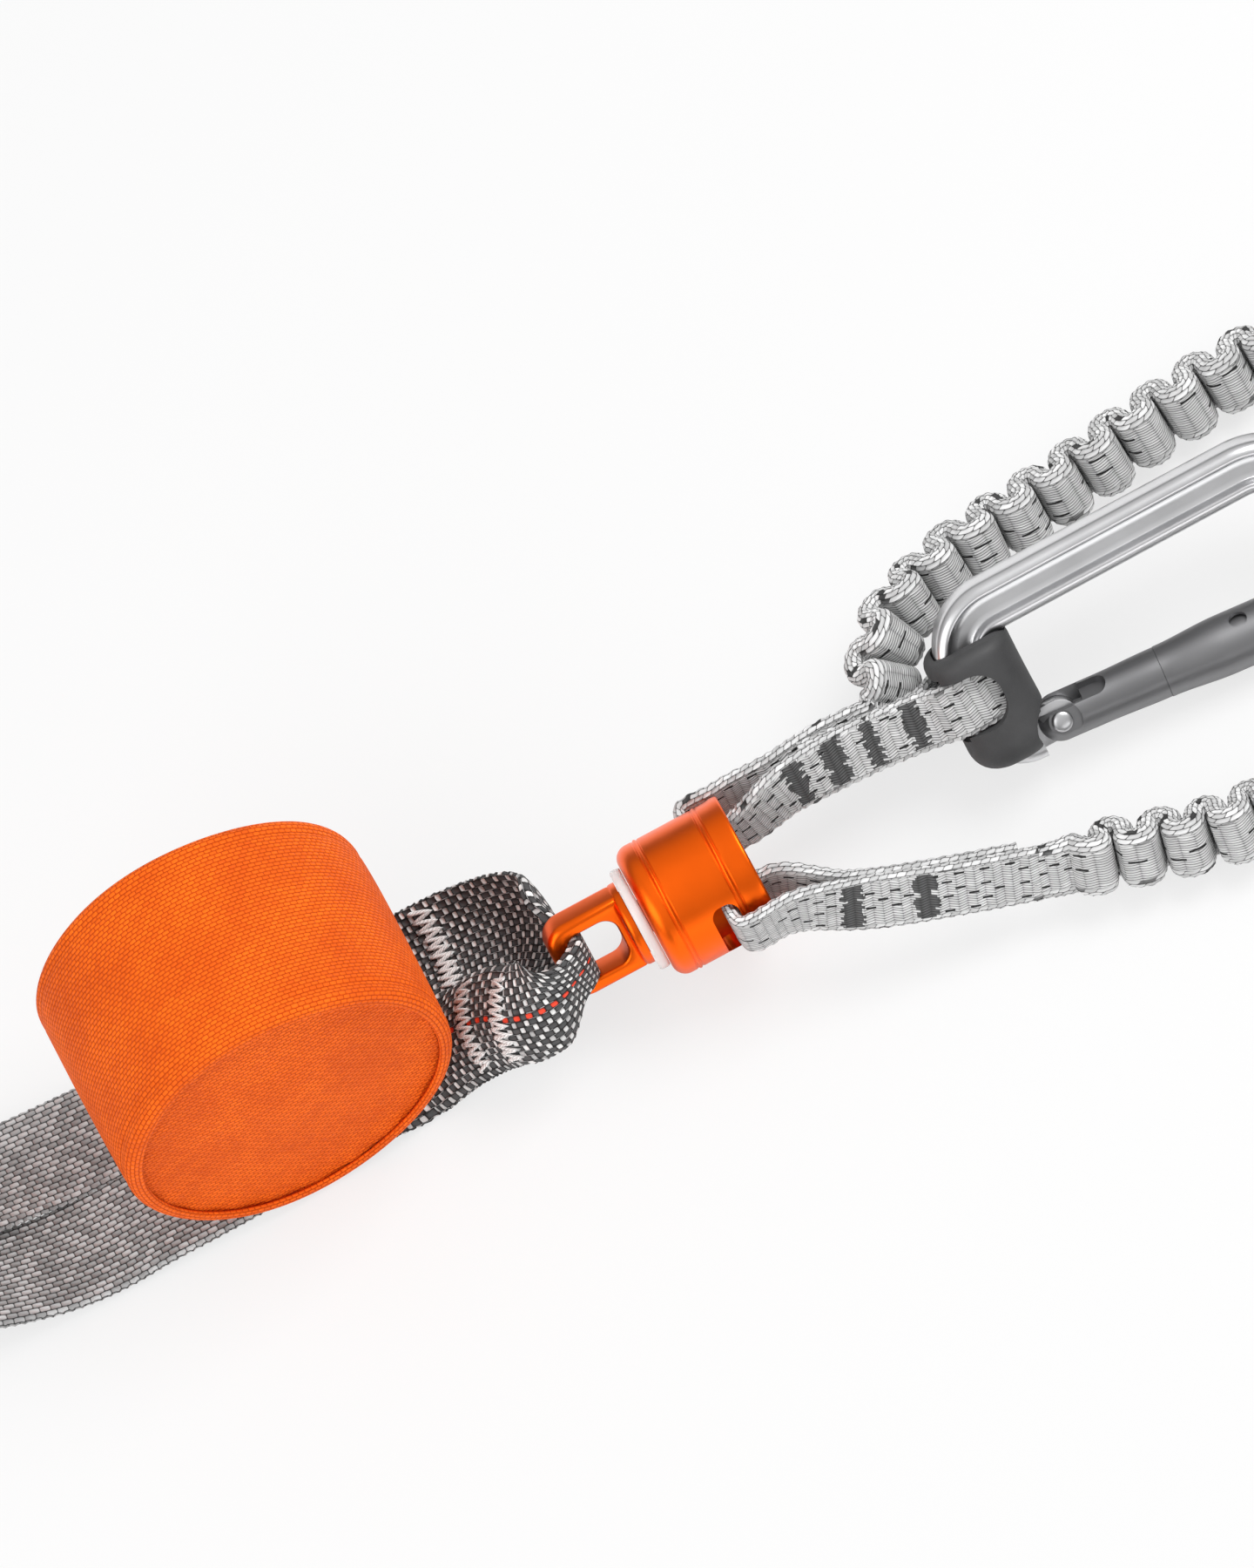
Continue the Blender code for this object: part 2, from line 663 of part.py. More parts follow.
def make_swivel_eye():
    """The lug stands on a disc, a collar carries the washer, and the stem runs through the body."""
    half = eye_width / 2
    foot = disc_front + eye_disc_thickness / 2
    outline = [(foot, half)]
    outline += arc_points((plate_end + eye_corner_radius, half - eye_corner_radius), eye_corner_radius, 90, 180)
    outline += arc_points((plate_end + eye_corner_radius, eye_corner_radius - half), eye_corner_radius, 180, 270)
    outline += [(foot, -half)]
    plate = outline_mesh("swivel_eye", outline, eye_thickness / 2)
    bm = bmesh.new()
    bm.from_mesh(plate)
    rim = [edge for edge in bm.edges if abs(edge.verts[0].co.z - edge.verts[1].co.z) < weld_distance
           and edge.is_manifold and edge.calc_face_angle() > math.radians(80)]
    bmesh.ops.bevel(bm, geom=rim, offset=eye_edge_round, segments=2, affect="EDGES", profile=0.5)
    bm.to_mesh(plate)
    bm.free()
    slot_half = half - eye_bar
    slot_near = disc_front - eye_bar * 0.5
    corner = slot_half / 2
    slot = []
    for cx, cy, start in (
        (slot_near - corner, slot_half - corner, 0), (slot_far_x + corner, slot_half - corner, 90),
        (slot_far_x + corner, corner - slot_half, 180), (slot_near - corner, corner - slot_half, 270),
    ):
        slot += arc_points((cx, cy), corner, start, start + 90, steps=3)
    turn = Matrix.Translation(swivel_centre) @ Matrix.Rotation(math.pi / 2 - eye_lean, 4, "X")
    plate.transform(turn)
    eye = add_piece("swivel_eye", plate, anodised)
    slot_mesh = outline_mesh("eye_slot", slot, eye_thickness)
    slot_mesh.transform(turn)
    boolean(eye, add_piece("eye_slot", slot_mesh, hidden=True))
    stem_end = cavity_start + face_gap + thrust_washer_thickness + face_gap + nut_length + face_gap * 3
    profile = [
        (0, disc_front), (eye_disc_radius - eye_edge_round, disc_front),
        (eye_disc_radius, disc_front + eye_edge_round), (eye_disc_radius, disc_back), (collar_radius, disc_back),
        (collar_radius, body_start - face_gap), (stem_radius, body_start - face_gap), (stem_radius, stem_end),
        (0, stem_end),
    ]
    stem = turned_mesh("eye_stem", profile[::-1])
    boolean(eye, add_piece("eye_stem", lay_along(stem, (1, 0, 0), swivel_centre), hidden=True), "UNION")
    pin_x = stem_end - face_gap * 3 - nut_length / 2
    reach = nut_radius + cut_overrun
    hole = rod_mesh("lock_pin_hole", lock_pin_radius + face_gap, (pin_x, 0, swivel_axis_height - reach),
                    (pin_x, 0, swivel_axis_height + reach), sides=8)
    hole_cutter = add_piece("lock_pin_hole", hole, hidden=True)
    boolean(eye, hole_cutter)
    pin = rod_mesh("swivel_lock_pin", lock_pin_radius, (pin_x, 0, swivel_axis_height - nut_radius + face_gap),
                   (pin_x, 0, swivel_axis_height + nut_radius - face_gap), sides=8)
    add_piece("swivel_lock_pin", pin, steel_finish)
    nut_start = cavity_start + 2 * face_gap + thrust_washer_thickness
    ring_pieces = (
        ("outer_washer", washer_radius, collar_radius, -washer_thickness / 2, washer_thickness, 32, plastic),
        ("thrust_washer", thrust_washer_radius, stem_radius, cavity_start + face_gap, thrust_washer_thickness, 24,
         steel_finish),
        ("retaining_nut", nut_radius, stem_radius, nut_start, nut_length, 6, steel_finish),
    )
    for name, outer, inner, start, length, sides, material in ring_pieces:
        ring = rod_mesh(name, outer, swivel_centre + Vector((start, 0, 0)),
                        swivel_centre + Vector((start + length, 0, 0)), sides=sides)
        piece = add_piece(name, ring, material)
        bore = rod_mesh(name + "_bore", inner + face_gap, swivel_centre + Vector((start - cut_overrun, 0, 0)),
                        swivel_centre + Vector((start + length + cut_overrun, 0, 0)), sides=24)
        boolean(piece, add_piece(name + "_bore", bore, hidden=True))
        if name == "retaining_nut":
            boolean(piece, hole_cutter)


def make_swivel_body():
    """A turned bell: shoulder, two fine grooves, a chamfered rim, and a window on each side for the arms."""
    depth = body_groove_depth
    width = body_groove_width
    first_groove = body_shoulder_length + 2 * width
    second_groove = body_length - body_rim_length - 2 * width
    profile = [(stem_radius + running_gap, 0), (body_radius - body_shoulder_drop, 0)]
    profile += [(body_radius - depth, body_shoulder_length), (body_radius, body_shoulder_length + width)]
    for groove in (first_groove, second_groove):
        profile += [(body_radius, groove), (body_radius - depth, groove + width / 2), (body_radius, groove + width)]
    profile += [(body_radius, body_length - body_rim_length / 2), (body_radius - body_rim_chamfer, body_length)]
    profile += [(body_bore + body_rim_chamfer / 2, body_length), (body_bore, body_length - body_rim_chamfer / 2)]
    profile += [(body_bore, body_floor_thickness), (stem_radius + running_gap, body_floor_thickness)]
    bell = turned_mesh("swivel_body", profile[::-1], sides=36)
    body = add_piece("swivel_body", lay_along(bell, (1, 0, 0), swivel_centre + Vector((body_start, 0, 0))), anodised)
    end = body_end - window_rim_width
    start = end - window_length
    half = window_width / 2
    outline = []
    for cx, cy, angle in (
        (end - window_corner_radius, half - window_corner_radius, 0),
        (start + window_corner_radius, half - window_corner_radius, 90),
        (start + window_corner_radius, window_corner_radius - half, 180),
        (end - window_corner_radius, window_corner_radius - half, 270),
    ):
        outline += arc_points((cx, cy), window_corner_radius, angle, angle + 90, steps=3)
    window = outline_mesh("arm_windows", outline, body_radius + cut_overrun)
    window.transform(Matrix.Translation(swivel_centre) @ Matrix.Rotation(math.pi / 2 - window_lean, 4, "X"))
    boolean(body, add_piece("arm_windows", window, hidden=True))



make_pouch()
make_tear_webbing()
make_swivel_loop()
make_tie_in_loop()
make_swivel_eye()
make_swivel_body()

# Arms
layer = arm_thickness + arm_layer_gap
half_layer = arm_thickness / 2
rim_reach = face_gap + half_layer
outer_leg = body_radius + rim_reach
inner_leg = math.sqrt((body_bore - 2 * face_gap) ** 2 - (arm_width / 2) ** 2) - half_layer
rim_edge = body_end - window_rim_width


def on_route(route, stations):
    """Centres and directions across for stations along a route."""
    stations = np.array(stations, float)
    places, acrosses, outs = route.frames(stations[:, 0])
    return places + outs * stations[:, 1:2] + acrosses * stations[:, 2:3], acrosses


def bridge(one, two, count=5):
    """Webbing between two laid stretches: a cubic that leaves and arrives along them."""
    start, end = one[0][-1], two[0][0]
    reach = np.linalg.norm(end - start)
    leave = one[0][-1] - one[0][-2]
    arrive = two[0][1] - two[0][0]
    leave = leave / np.linalg.norm(leave) * reach
    arrive = arrive / np.linalg.norm(arrive) * reach
    share = np.linspace(0, 1, count + 2)[1:-1, None]
    centres = (
        (2 * share**3 - 3 * share**2 + 1) * start + (share**3 - 2 * share**2 + share) * leave
        + (3 * share**2 - 2 * share**3) * end + (share**3 - share**2) * arrive
    )
    return centres, one[1][-1] * (1 - share) + two[1][0] * share


def joined(*stretches):
    return tuple(np.vstack([stretch[side] for stretch in stretches]) for side in (0, 1))


def mouth_bight(side):
    """Through the mouth, out of a window and back over the rim, from the inner leg to the outer one."""
    lean = math.degrees(window_lean)
    axis = Route([(0, 0, swivel_axis_height, lean), (body_end + body_length, 0, swivel_axis_height, lean)])
    inner = [(rim_edge - y, x) for x, y in arc_points((inner_leg + rim_reach, 0), rim_reach, 180, 90, steps=3)]
    outer = [(rim_edge - y, x) for x, y in arc_points((body_radius, 0), rim_reach, 90, 0, steps=3)]
    path = [(body_end, inner_leg)] + inner + outer + [(body_end, outer_leg)]
    return on_route(axis, [(along, side * out, 0) for along, out in path])


def clip_bight(along, half_height, half_width, edge_round, thickness):
    """Round a clip's bar, from the face below it to the face above it."""
    bend = edge_round + face_gap + thickness / 2
    corner = along + half_width - edge_round
    half = [(corner + y, x) for x, y in arc_points((half_height - edge_round, 0), bend, 0, 90, steps=4)]
    below = [(corner_along, -out, 0) for corner_along, out in half]
    return below + [(corner_along, out, 0) for corner_along, out in half[::-1]]


def eased_offsets(first, last, count=6):
    """A smooth change of offset between two (distance, offset) ends."""
    shares = np.linspace(0, 1, count)
    return [
        (first[0] + (last[0] - first[0]) * share, first[1] + (last[1] - first[1]) * float(eased(share)), 0)
        for share in shares
    ]


def make_upper_webbing():
    """One strip: sewn end, rest loop round the carabiner, front layer, bight through the window, back layer."""
    grip = rest_turn @ Vector((-rest_small_end, rest_grip, 0)) + rest_place
    lean = math.degrees(rest_lean)
    ends = [(grip.x - rest_bar_width, -grip.y, grip.z, lean), (grip.x, -grip.y, grip.z, lean),
            (grip.x + rest_small_end, -grip.y, grip.z, lean)]
    route = Route(in_route_units(upper_stack_shares) + ends)
    bar = route.at_x(grip.x)
    bar_side = rest_bar_height / 2 + rim_reach
    near_bar = bar - rest_bar_width / 2
    fan = route.at_x(rest_fan_start)
    start, first = route.at_x(stack_start), route.at_x(stack_start + arm_thickness)
    path = [(first, 0, 0)] + eased_offsets((fan, 0), (near_bar, -bar_side))
    path += clip_bight(bar, rest_bar_height / 2, rest_bar_width / 2, bar_edge_round, arm_thickness)
    path += eased_offsets((near_bar, bar_side), (fan, layer))
    front = on_route(route, path + [(start, layer, 0)])
    end = route.at_x(upper_stack_end)
    back = on_route(route, [(start, -layer, 0), ((start + end) / 2, -layer, 0), (end, -layer, 0)])
    bight = mouth_bight(-1)
    centres, acrosses = joined(front, bridge(front, bight), bight, bridge(bight, back), back)
    mesh = webbing_mesh("upper_arm_webbing", centres, acrosses, arm_width, arm_thickness)
    add_piece("upper_arm_webbing", mesh, grey_strap)
    return route, (end + upper_bellows_lead, -layer)


def make_lower_webbing():
    """One strip: cut end, back layer, bight through the window, front layer."""
    route = Route(in_route_units(lower_stack_shares))
    start, cut, end = (route.at_x(x) for x in (stack_start, lower_cut_end, lower_stack_end))
    half = layer / 2
    back = on_route(route, [(cut, -half, 0), ((start + cut) / 2, -half, 0), (start, -half, 0)])
    front = on_route(route, [(start, half, 0), ((start + end) / 2, half, 0), (end, half, 0)])
    bight = mouth_bight(1)
    centres, acrosses = joined(back, bridge(back, bight), bight, bridge(bight, front), front)
    mesh = webbing_mesh("lower_arm_webbing", centres, acrosses, arm_width, arm_thickness)
    add_piece("lower_arm_webbing", mesh, grey_strap)
    return route, (end, half)


def row_of(route, along, out=0.0):
    """A table row for the place at a distance along a route and an offset from it."""
    places, _, outs = route.frames([along])
    x, y, z = places[0] + outs[0] * out
    return (x, -y, z, math.degrees(np.interp(along, route.distances, route.leans)))


def fold_line(run, whole, depth):
    """Bellows folds: upright legs and round crests, as distance and offset; run counts in folds."""
    along = bellows_pitch_of(whole) * (run - np.sin(4 * math.pi * run) / (4 * math.pi))
    return along, depth * np.sin(2 * math.pi * run)


def bellows_pitch_of(whole):
    """The pitch nearest the named one that fits a whole number of folds into a length."""
    return whole / max(1, round(whole / bellows_pitch))


def make_bellows(name, first_row, shares, material):
    """The elastic stretch: webbing gathered into folds over its whole length, flat at both ends."""
    route = Route([first_row] + in_route_units(shares))
    flat = bellows_start
    whole = route.length - 2 * flat
    folds = round(whole / bellows_pitch_of(whole))
    crest = (bellows_depth - bellows_thickness) / 2
    runs = np.arange(folds * bellows_points_per_fold + 1) / bellows_points_per_fold
    along, out = fold_line(runs, whole, crest)
    ramp = eased(np.minimum(runs, folds - runs) * 1.5 + 0.25)
    stations = np.stack([along + flat, out * ramp, np.zeros_like(along)], 1)
    stations = np.vstack([[(bellows_butt_gap, 0, 0)], [(flat / 2, 0, 0)], stations, [(route.length - flat / 2, 0, 0)],
                          [(route.length - 2 * face_gap, 0, 0)]])
    mesh, centres = strap_on_route(name, route, stations, bellows_width, bellows_thickness, corners=4)
    add_piece(name, mesh, material)
    print_least_gap(name, centres, bellows_thickness, bellows_depth)
    print(f"{name}: {folds} folds, {route.length:.3f} m long as it lies")
    return route


def make_end_loop(name, bellows, clip_place):
    """The arm's end: one strip round the connector's bar, its sewn end back under itself."""
    grip = clip_place + Vector((-palm_small_end, palm_grip, 0))
    first = row_of(bellows, bellows.length)
    flat_x = grip.x - palm_bar_width - fan_length / 2
    middle_x = (first[0] + flat_x) / 2
    rows = [first, (middle_x, (first[1] - grip.y) / 2, (first[2] + grip.z) / 2, 72)]
    rows += [(flat_x, -grip.y, grip.z, 90), (grip.x, -grip.y, grip.z, 90), (grip.x + palm_small_end, -grip.y, grip.z, 90)]
    route = Route(rows)
    bar = route.at_x(grip.x)
    near_bar = bar - palm_bar_width / 2
    bar_side = palm_bar_height / 2 + rim_reach
    fan = near_bar - fan_length
    half = layer / 2
    path = [(2 * face_gap, 0, 0), (end_stack_start / 2, half / 2, 0), (end_stack_start, half, 0)]
    path += eased_offsets((fan, half), (near_bar, bar_side))
    path += clip_bight(bar, palm_bar_height / 2, palm_bar_width / 2, bar_edge_round, arm_thickness)[::-1]
    path += eased_offsets((near_bar, -bar_side), (fan, -half))
    path += [(end_stack_start + arm_thickness, -half, 0)]
    mesh, _ = strap_on_route(name, route, path, arm_width, arm_thickness)
    add_piece(name, mesh, grey_strap)
    return route


rest_place = Vector((rest_hinge_x, rest_hinge_y, rest_hinge_z))
rest_turn = Matrix.Rotation(rest_lean, 3, "X")
upper_palm_place = Vector((upper_palm_place_shares[0] * route_length, -upper_palm_place_shares[1] * route_length,
                           palm_height))
lower_palm_place = Vector((lower_palm_place_shares[0] * route_length, -lower_palm_place_shares[1] * route_length,
                           palm_height))
upper_stack, upper_end = make_upper_webbing()
lower_stack, lower_end = make_lower_webbing()
upper_bellows = make_bellows("upper_arm_bellows", row_of(upper_stack, *upper_end), upper_bellows_shares, grey_strap)
lower_bellows = make_bellows("lower_arm_bellows", row_of(lower_stack, *lower_end), lower_bellows_shares, grey_strap)
make_end_loop("upper_arm_end_loop", upper_bellows, upper_palm_place)
make_end_loop("lower_arm_end_loop", lower_bellows, lower_palm_place)


# Connectors: each is made round its gate hinge, nose towards +X, spine towards +Y, then put in place
rest_sizes = {
    "width": rest_bar_width, "height": rest_bar_height, "small_end": rest_small_end, "spine": rest_spine,
    "big_end": rest_big_end, "corners": (rest_hinge_corner, rest_small_corner, rest_big_corner, rest_nose_corner),
    "gate_radius": rest_gate_radius, "gate_length": rest_gate_length, "splay": rest_gate_splay, "grip": rest_grip,
    "keeper_wall": keeper_wall, "keeper_edge": keeper_edge_round,
}
palm_sizes = {
    "width": palm_bar_width, "height": palm_bar_height, "small_end": palm_small_end, "spine": palm_spine,
    "big_end": palm_big_end, "corners": (palm_hinge_corner, palm_small_corner, palm_big_corner, palm_nose_corner),
    "gate_radius": palm_gate_radius, "gate_length": palm_gate_length, "splay": palm_gate_splay, "grip": palm_grip,
    "keeper_wall": palm_keeper_wall, "keeper_edge": palm_keeper_edge_round,
}


def bar_section(half_width, half_height, groove):
    """Outline of the bar: across it in the connector's plane, and through it; both faces are grooved."""
    edge = bar_edge_round
    soft = edge * (1 - math.sqrt(0.5))
    lip = bar_groove_half_width + bar_groove_slope
    corner = [(half_width, half_height - edge), (half_width - soft, half_height - soft),
              (half_width - edge, half_height)]
    face = [(lip, half_height), (bar_groove_half_width, half_height - groove)]
    upper = corner + face + [(-u, w) for u, w in face[::-1]] + [(-u, w) for u, w in corner[::-1]]
    return upper + [(-u, -w) for u, w in upper]


def bar_mesh(name, path, half_width, half_height, groove_depth):
    """A bar swept along a flat path; its grooves run out before both ends."""
    path = np.asarray(path, float)
    steps = np.linalg.norm(np.diff(path, axis=0), axis=1)
    runs = np.concatenate([[0], np.cumsum(steps)])
    headings = np.diff(path, axis=0) / steps[:, None]
    tangents = np.vstack([headings[:1], headings[1:] + headings[:-1], headings[-1:]])
    tangents /= np.linalg.norm(tangents, axis=1)[:, None]
    bm = bmesh.new()
    rings = []
    for place, tangent, run in zip(path, tangents, runs):
        depth = groove_depth * eased(min(run, runs[-1] - run) / groove_fade)
        ring = []
        for u, w in bar_section(half_width, half_height, depth):
            ring.append(bm.verts.new((place[0] - tangent[1] * u, place[1] + tangent[0] * u, w)))
        rings.append(ring)
    for ring, after in zip(rings, rings[1:]):
        for side in range(len(ring)):
            beside = (side + 1) % len(ring)
            bm.faces.new((ring[side], after[side], after[beside], ring[beside]))
    bm.faces.new(rings[0])
    bm.faces.new(rings[-1])
    bmesh.ops.recalc_face_normals(bm, faces=bm.faces)
    return bm_mesh(name, bm)


def boxes_mesh(name, boxes):
    """Several separate upright boxes in one cutter."""
    bm = bmesh.new()
    for low, high in boxes:
        bm.from_mesh(box_mesh(name, low, high))
    return bm_mesh(name, bm)


def clip_path(sizes):
    """Centre line of a connector's frame, from behind the hinge round to the nose."""
    small, spine, big = sizes["small_end"], sizes["spine"], sizes["big_end"]
    along_gate = np.array((math.cos(sizes["splay"]), -math.sin(sizes["splay"])))
    nose = along_gate * (sizes["gate_length"] + nose_gap)
    start = (-(sizes["gate_radius"] + running_gap), 0)
    corner = along_gate * big / math.cos(sizes["splay"])
    return rounded_path([start, (-small, 0), (-small, spine), (big, spine), corner, nose], sizes["corners"],
                        frame_arc_steps)


def gate_turn(sizes):
    """Turns a mesh made about Z, from the hinge upwards, so that it lies along the gate."""
    return Matrix.Rotation(-sizes["splay"], 4, "Z") @ Matrix.Rotation(math.pi / 2, 4, "Y")


def rivet_mesh(name, half_reach):
    """A plain rivet about Z with a low round head at each end."""
    top = half_reach + rivet_head_height
    upper = [(rivet_radius, half_reach), (rivet_head_radius, half_reach),
             (rivet_head_radius, top - rivet_head_crown), (rivet_radius, top), (0, top)]
    profile = [(radius, -height) for radius, height in upper[::-1]] + upper
    return turned_mesh(name, profile, rivet_sides)


def put(piece, place):
    piece.matrix_world = place
    return piece


def make_frame(prefix, sizes, place, pivot=None):
    """The connector's body: a grooved bar with a tongue for the gate at one end, open at the nose."""
    half = sizes["width"] / 2
    mesh = bar_mesh(prefix + "_frame", clip_path(sizes), half, sizes["height"] / 2, bar_groove_depth)
    frame = put(add_piece(prefix + "_frame", mesh, silver), place)
    behind = -(sizes["gate_radius"] + running_gap)
    back = behind - cut_overrun
    outline = [(back, -tongue_radius)] + arc_points((0, 0), tongue_radius, -90, 90) + [(back, tongue_radius)]
    tongue = outline_mesh("tongue", outline, tongue_thickness / 2)
    hole = rod_mesh("rivet_hole", rivet_radius + face_gap, (0, 0, -half), (0, 0, half))
    tongue_piece = put(add_piece(prefix + "_tongue", tongue, hidden=True), place)
    hole_piece = put(add_piece(prefix + "_rivet_hole", hole, hidden=True), place)
    boolean(tongue_piece, hole_piece)
    boolean(frame, tongue_piece, "UNION")
    if pivot is not None:
        pivot_hole = rod_mesh("lever_rivet_hole", rivet_radius + face_gap, (*pivot, -half), (*pivot, half))
        boolean(frame, put(add_piece(prefix + "_lever_hole", pivot_hole, hidden=True), place))
    return hole_piece


def make_gate(prefix, sizes, place, material):
    """A round gate with a forked, rounded hinge end, bored for its spring; rivet, spring and pusher."""
    radius, length = sizes["gate_radius"], sizes["gate_length"]
    ball = arc_points((0, 0), radius, -90, 0, steps=gate_end_steps)
    profile = [(0, -radius)] + ball[1:] + [
        (radius, length - gate_end_round), (radius - gate_end_round, length), (0, length),
    ]
    mesh = turned_mesh(prefix + "_gate", profile, small_sides)
    turn = gate_turn(sizes)
    mesh.transform(turn)
    gate = put(add_piece(prefix + "_gate", mesh, material), place)
    slot = tongue_thickness / 2 + fork_slot_gap
    cheek = slot + fork_cheek
    slot_end = tongue_radius + running_gap
    fork_end = slot_end + radius / 2
    reach = radius + cut_overrun
    boxes = [
        ((-reach, -reach, -slot), (slot_end, reach, slot)),
        ((-reach, -reach, cheek), (fork_end, reach, reach)),
        ((-reach, -reach, -reach), (fork_end, reach, -cheek)),
    ]
    cuts = boxes_mesh("fork", boxes)
    cuts.transform(Matrix.Rotation(-sizes["splay"], 4, "Z"))
    boolean(gate, put(add_piece(prefix + "_fork", cuts, hidden=True), place))
    hole = rod_mesh("gate_rivet_hole", rivet_radius + face_gap, (0, 0, -reach), (0, 0, reach))
    boolean(gate, put(add_piece(prefix + "_gate_hole", hole, hidden=True), place))
    bore = rod_mesh("spring_bore", spring_bore_radius, (0, 0, slot_end - running_gap), (0, 0, slot_end + spring_bore_depth))
    bore.transform(turn)
    boolean(gate, put(add_piece(prefix + "_bore", bore, hidden=True), place))
    rivet = rivet_mesh(prefix + "_gate_rivet", cheek + face_gap)
    put(add_piece(prefix + "_gate_rivet", rivet, steel_finish), place)
    make_pusher(prefix, slot_end, turn, place)


def make_pusher(prefix, slot_end, turn, place):
    """The plunger that presses on the tongue, and the coil spring behind it."""
    tip = slot_end + face_gap - running_gap
    shoulder = tip + pusher_tip_length
    back = shoulder + pusher_length - pusher_tip_length
    body = spring_bore_radius - face_gap
    profile = [(0, tip), (pusher_tip_radius, tip), (pusher_tip_radius, shoulder), (body, shoulder), (body, back), (0, back)]
    mesh = turned_mesh(prefix + "_gate_pusher", profile, small_sides // 2)
    mesh.transform(turn)
    put(add_piece(prefix + "_gate_pusher", mesh, steel_finish), place)
    start = back + face_gap + spring_wire
    end = slot_end + spring_bore_depth - face_gap - spring_wire
    count = spring_turns * spring_points_per_turn
    share = np.arange(count + 1) / count
    angle = share * spring_turns * 2 * math.pi
    centres = np.stack([spring_coil_radius * np.cos(angle), spring_coil_radius * np.sin(angle),
                        start + (end - start) * share], 1)
    spring = wire_mesh(prefix + "_gate_spring", centres, spring_wire, spring_sides)
    spring.transform(turn)
    put(add_piece(prefix + "_gate_spring", spring, steel_finish), place)


def wire_mesh(name, centres, radius, sides):
    """A round wire along a curve that winds about Z."""
    tangents = np.gradient(centres, axis=0)
    tangents /= np.linalg.norm(tangents, axis=1)[:, None]
    radial = np.stack([centres[:, 0], centres[:, 1], np.zeros(len(centres))], 1)
    radial -= tangents * np.sum(radial * tangents, axis=1)[:, None]
    radial /= np.linalg.norm(radial, axis=1)[:, None]
    beside = np.cross(tangents, radial)
    bm = bmesh.new()
    rings = []
    for index in range(len(centres)):
        ring = []
        for side in range(sides):
            angle = 2 * math.pi * side / sides
            place = centres[index] + radius * (radial[index] * math.cos(angle) + beside[index] * math.sin(angle))
            ring.append(bm.verts.new(place))
        rings.append(ring)
    for ring, after in zip(rings, rings[1:]):
        for side in range(sides):
            other = (side + 1) % sides
            bm.faces.new((ring[side], after[side], after[other], ring[other]))
    bm.faces.new(rings[0])
    bm.faces.new(rings[-1])
    bmesh.ops.recalc_face_normals(bm, faces=bm.faces)
    return bm_mesh(name, bm)


def make_sleeve(place):
    """The locking sleeve: a tube that turns on the gate, with a small round hole and a stop."""
    inner = rest_gate_radius + running_gap
    end = rest_gate_length - sleeve_end_gap
    edge = (sleeve_radius - inner) / 2
    profile = [(inner, sleeve_start), (sleeve_radius - edge, sleeve_start), (sleeve_radius, sleeve_start + edge),
               (sleeve_radius, end - edge), (sleeve_radius - edge, end), (inner, end)]
    turn = gate_turn(rest_sizes)
    mesh = turned_mesh("rest_locking_sleeve", profile, round_sides)
    mesh.transform(turn)
    sleeve = put(add_piece("rest_locking_sleeve", mesh, dark), place)
    span = end - sleeve_start
    hole_at = sleeve_start + span * sleeve_hole_place_share
    stop_at = sleeve_start + span * sleeve_stop_place_share
    hole = rod_mesh("sleeve_hole", sleeve_hole_radius, (0, 0, 0), (0, 0, sleeve_radius * 2))
    hole.transform(Matrix.Rotation(math.pi / 2, 4, "X"))
    hole.transform(turn @ Matrix.Translation((0, 0, hole_at)) @ Matrix.Rotation(sleeve_hole_turn, 4, "Z"))
    boolean(sleeve, put(add_piece("sleeve_hole", hole, hidden=True), place))
    stop = box_mesh("sleeve_stop", (-sleeve_stop_length / 2, -(sleeve_radius + sleeve_stop_height), -sleeve_stop_length / 2),
                    (sleeve_stop_length / 2, -(inner + edge), sleeve_stop_length / 2))
    stop.transform(turn @ Matrix.Translation((0, 0, stop_at)) @ Matrix.Rotation(sleeve_stop_turn, 4, "Z"))
    boolean(sleeve, put(add_piece("sleeve_stop", stop, hidden=True), place), "UNION")


rest_clip_place = Matrix.Translation(rest_place) @ rest_turn.to_4x4()
make_frame("rest_carabiner", rest_sizes, rest_clip_place)
make_gate("rest_carabiner", rest_sizes, rest_clip_place, dark)
make_sleeve(rest_clip_place)


def make_lever(prefix, place):
    """Palm lever: a channel that straddles the spine, raised at rest, and the rivet it swings on."""
    pivot = (lever_pivot_x, palm_spine)
    inside = palm_bar_width / 2 + lever_spine_clearance
    top = inside + lever_wall
    front = lever_length * lever_slope_share
    crown = [
        (lever_length * share - lever_tail * (1 - share), top + lever_crown * math.sin(math.pi * share))
        for share in np.linspace(1, 0, lever_crown_steps + 1)
    ]
    outline = [(-lever_tail, -lever_cheek_depth), (front, -lever_cheek_depth), (lever_length, inside)] + crown
    cheek_side = palm_bar_height / 2 + lever_side_clearance
    half = cheek_side + lever_wall
    mesh = outline_mesh(prefix + "_palm_lever", outline, half)
    lever_place = place @ Matrix.Translation((*pivot, 0)) @ Matrix.Rotation(lever_travel, 4, "Z")
    lever = put(add_piece(prefix + "_palm_lever", mesh, dark), lever_place)
    reach = lever_length * 2
    channel = box_mesh("channel", (-reach, -reach, -cheek_side), (reach, inside, cheek_side))
    boolean(lever, put(add_piece(prefix + "_channel", channel, hidden=True), lever_place))
    hole = rod_mesh("lever_hole", rivet_radius + face_gap, (0, 0, -half * 2), (0, 0, half * 2))
    boolean(lever, put(add_piece(prefix + "_lever_bore", hole, hidden=True), lever_place))
    rivet = rivet_mesh(prefix + "_lever_rivet", half + face_gap)
    put(add_piece(prefix + "_lever_rivet", rivet, steel_finish), place @ Matrix.Translation((*pivot, 0)))


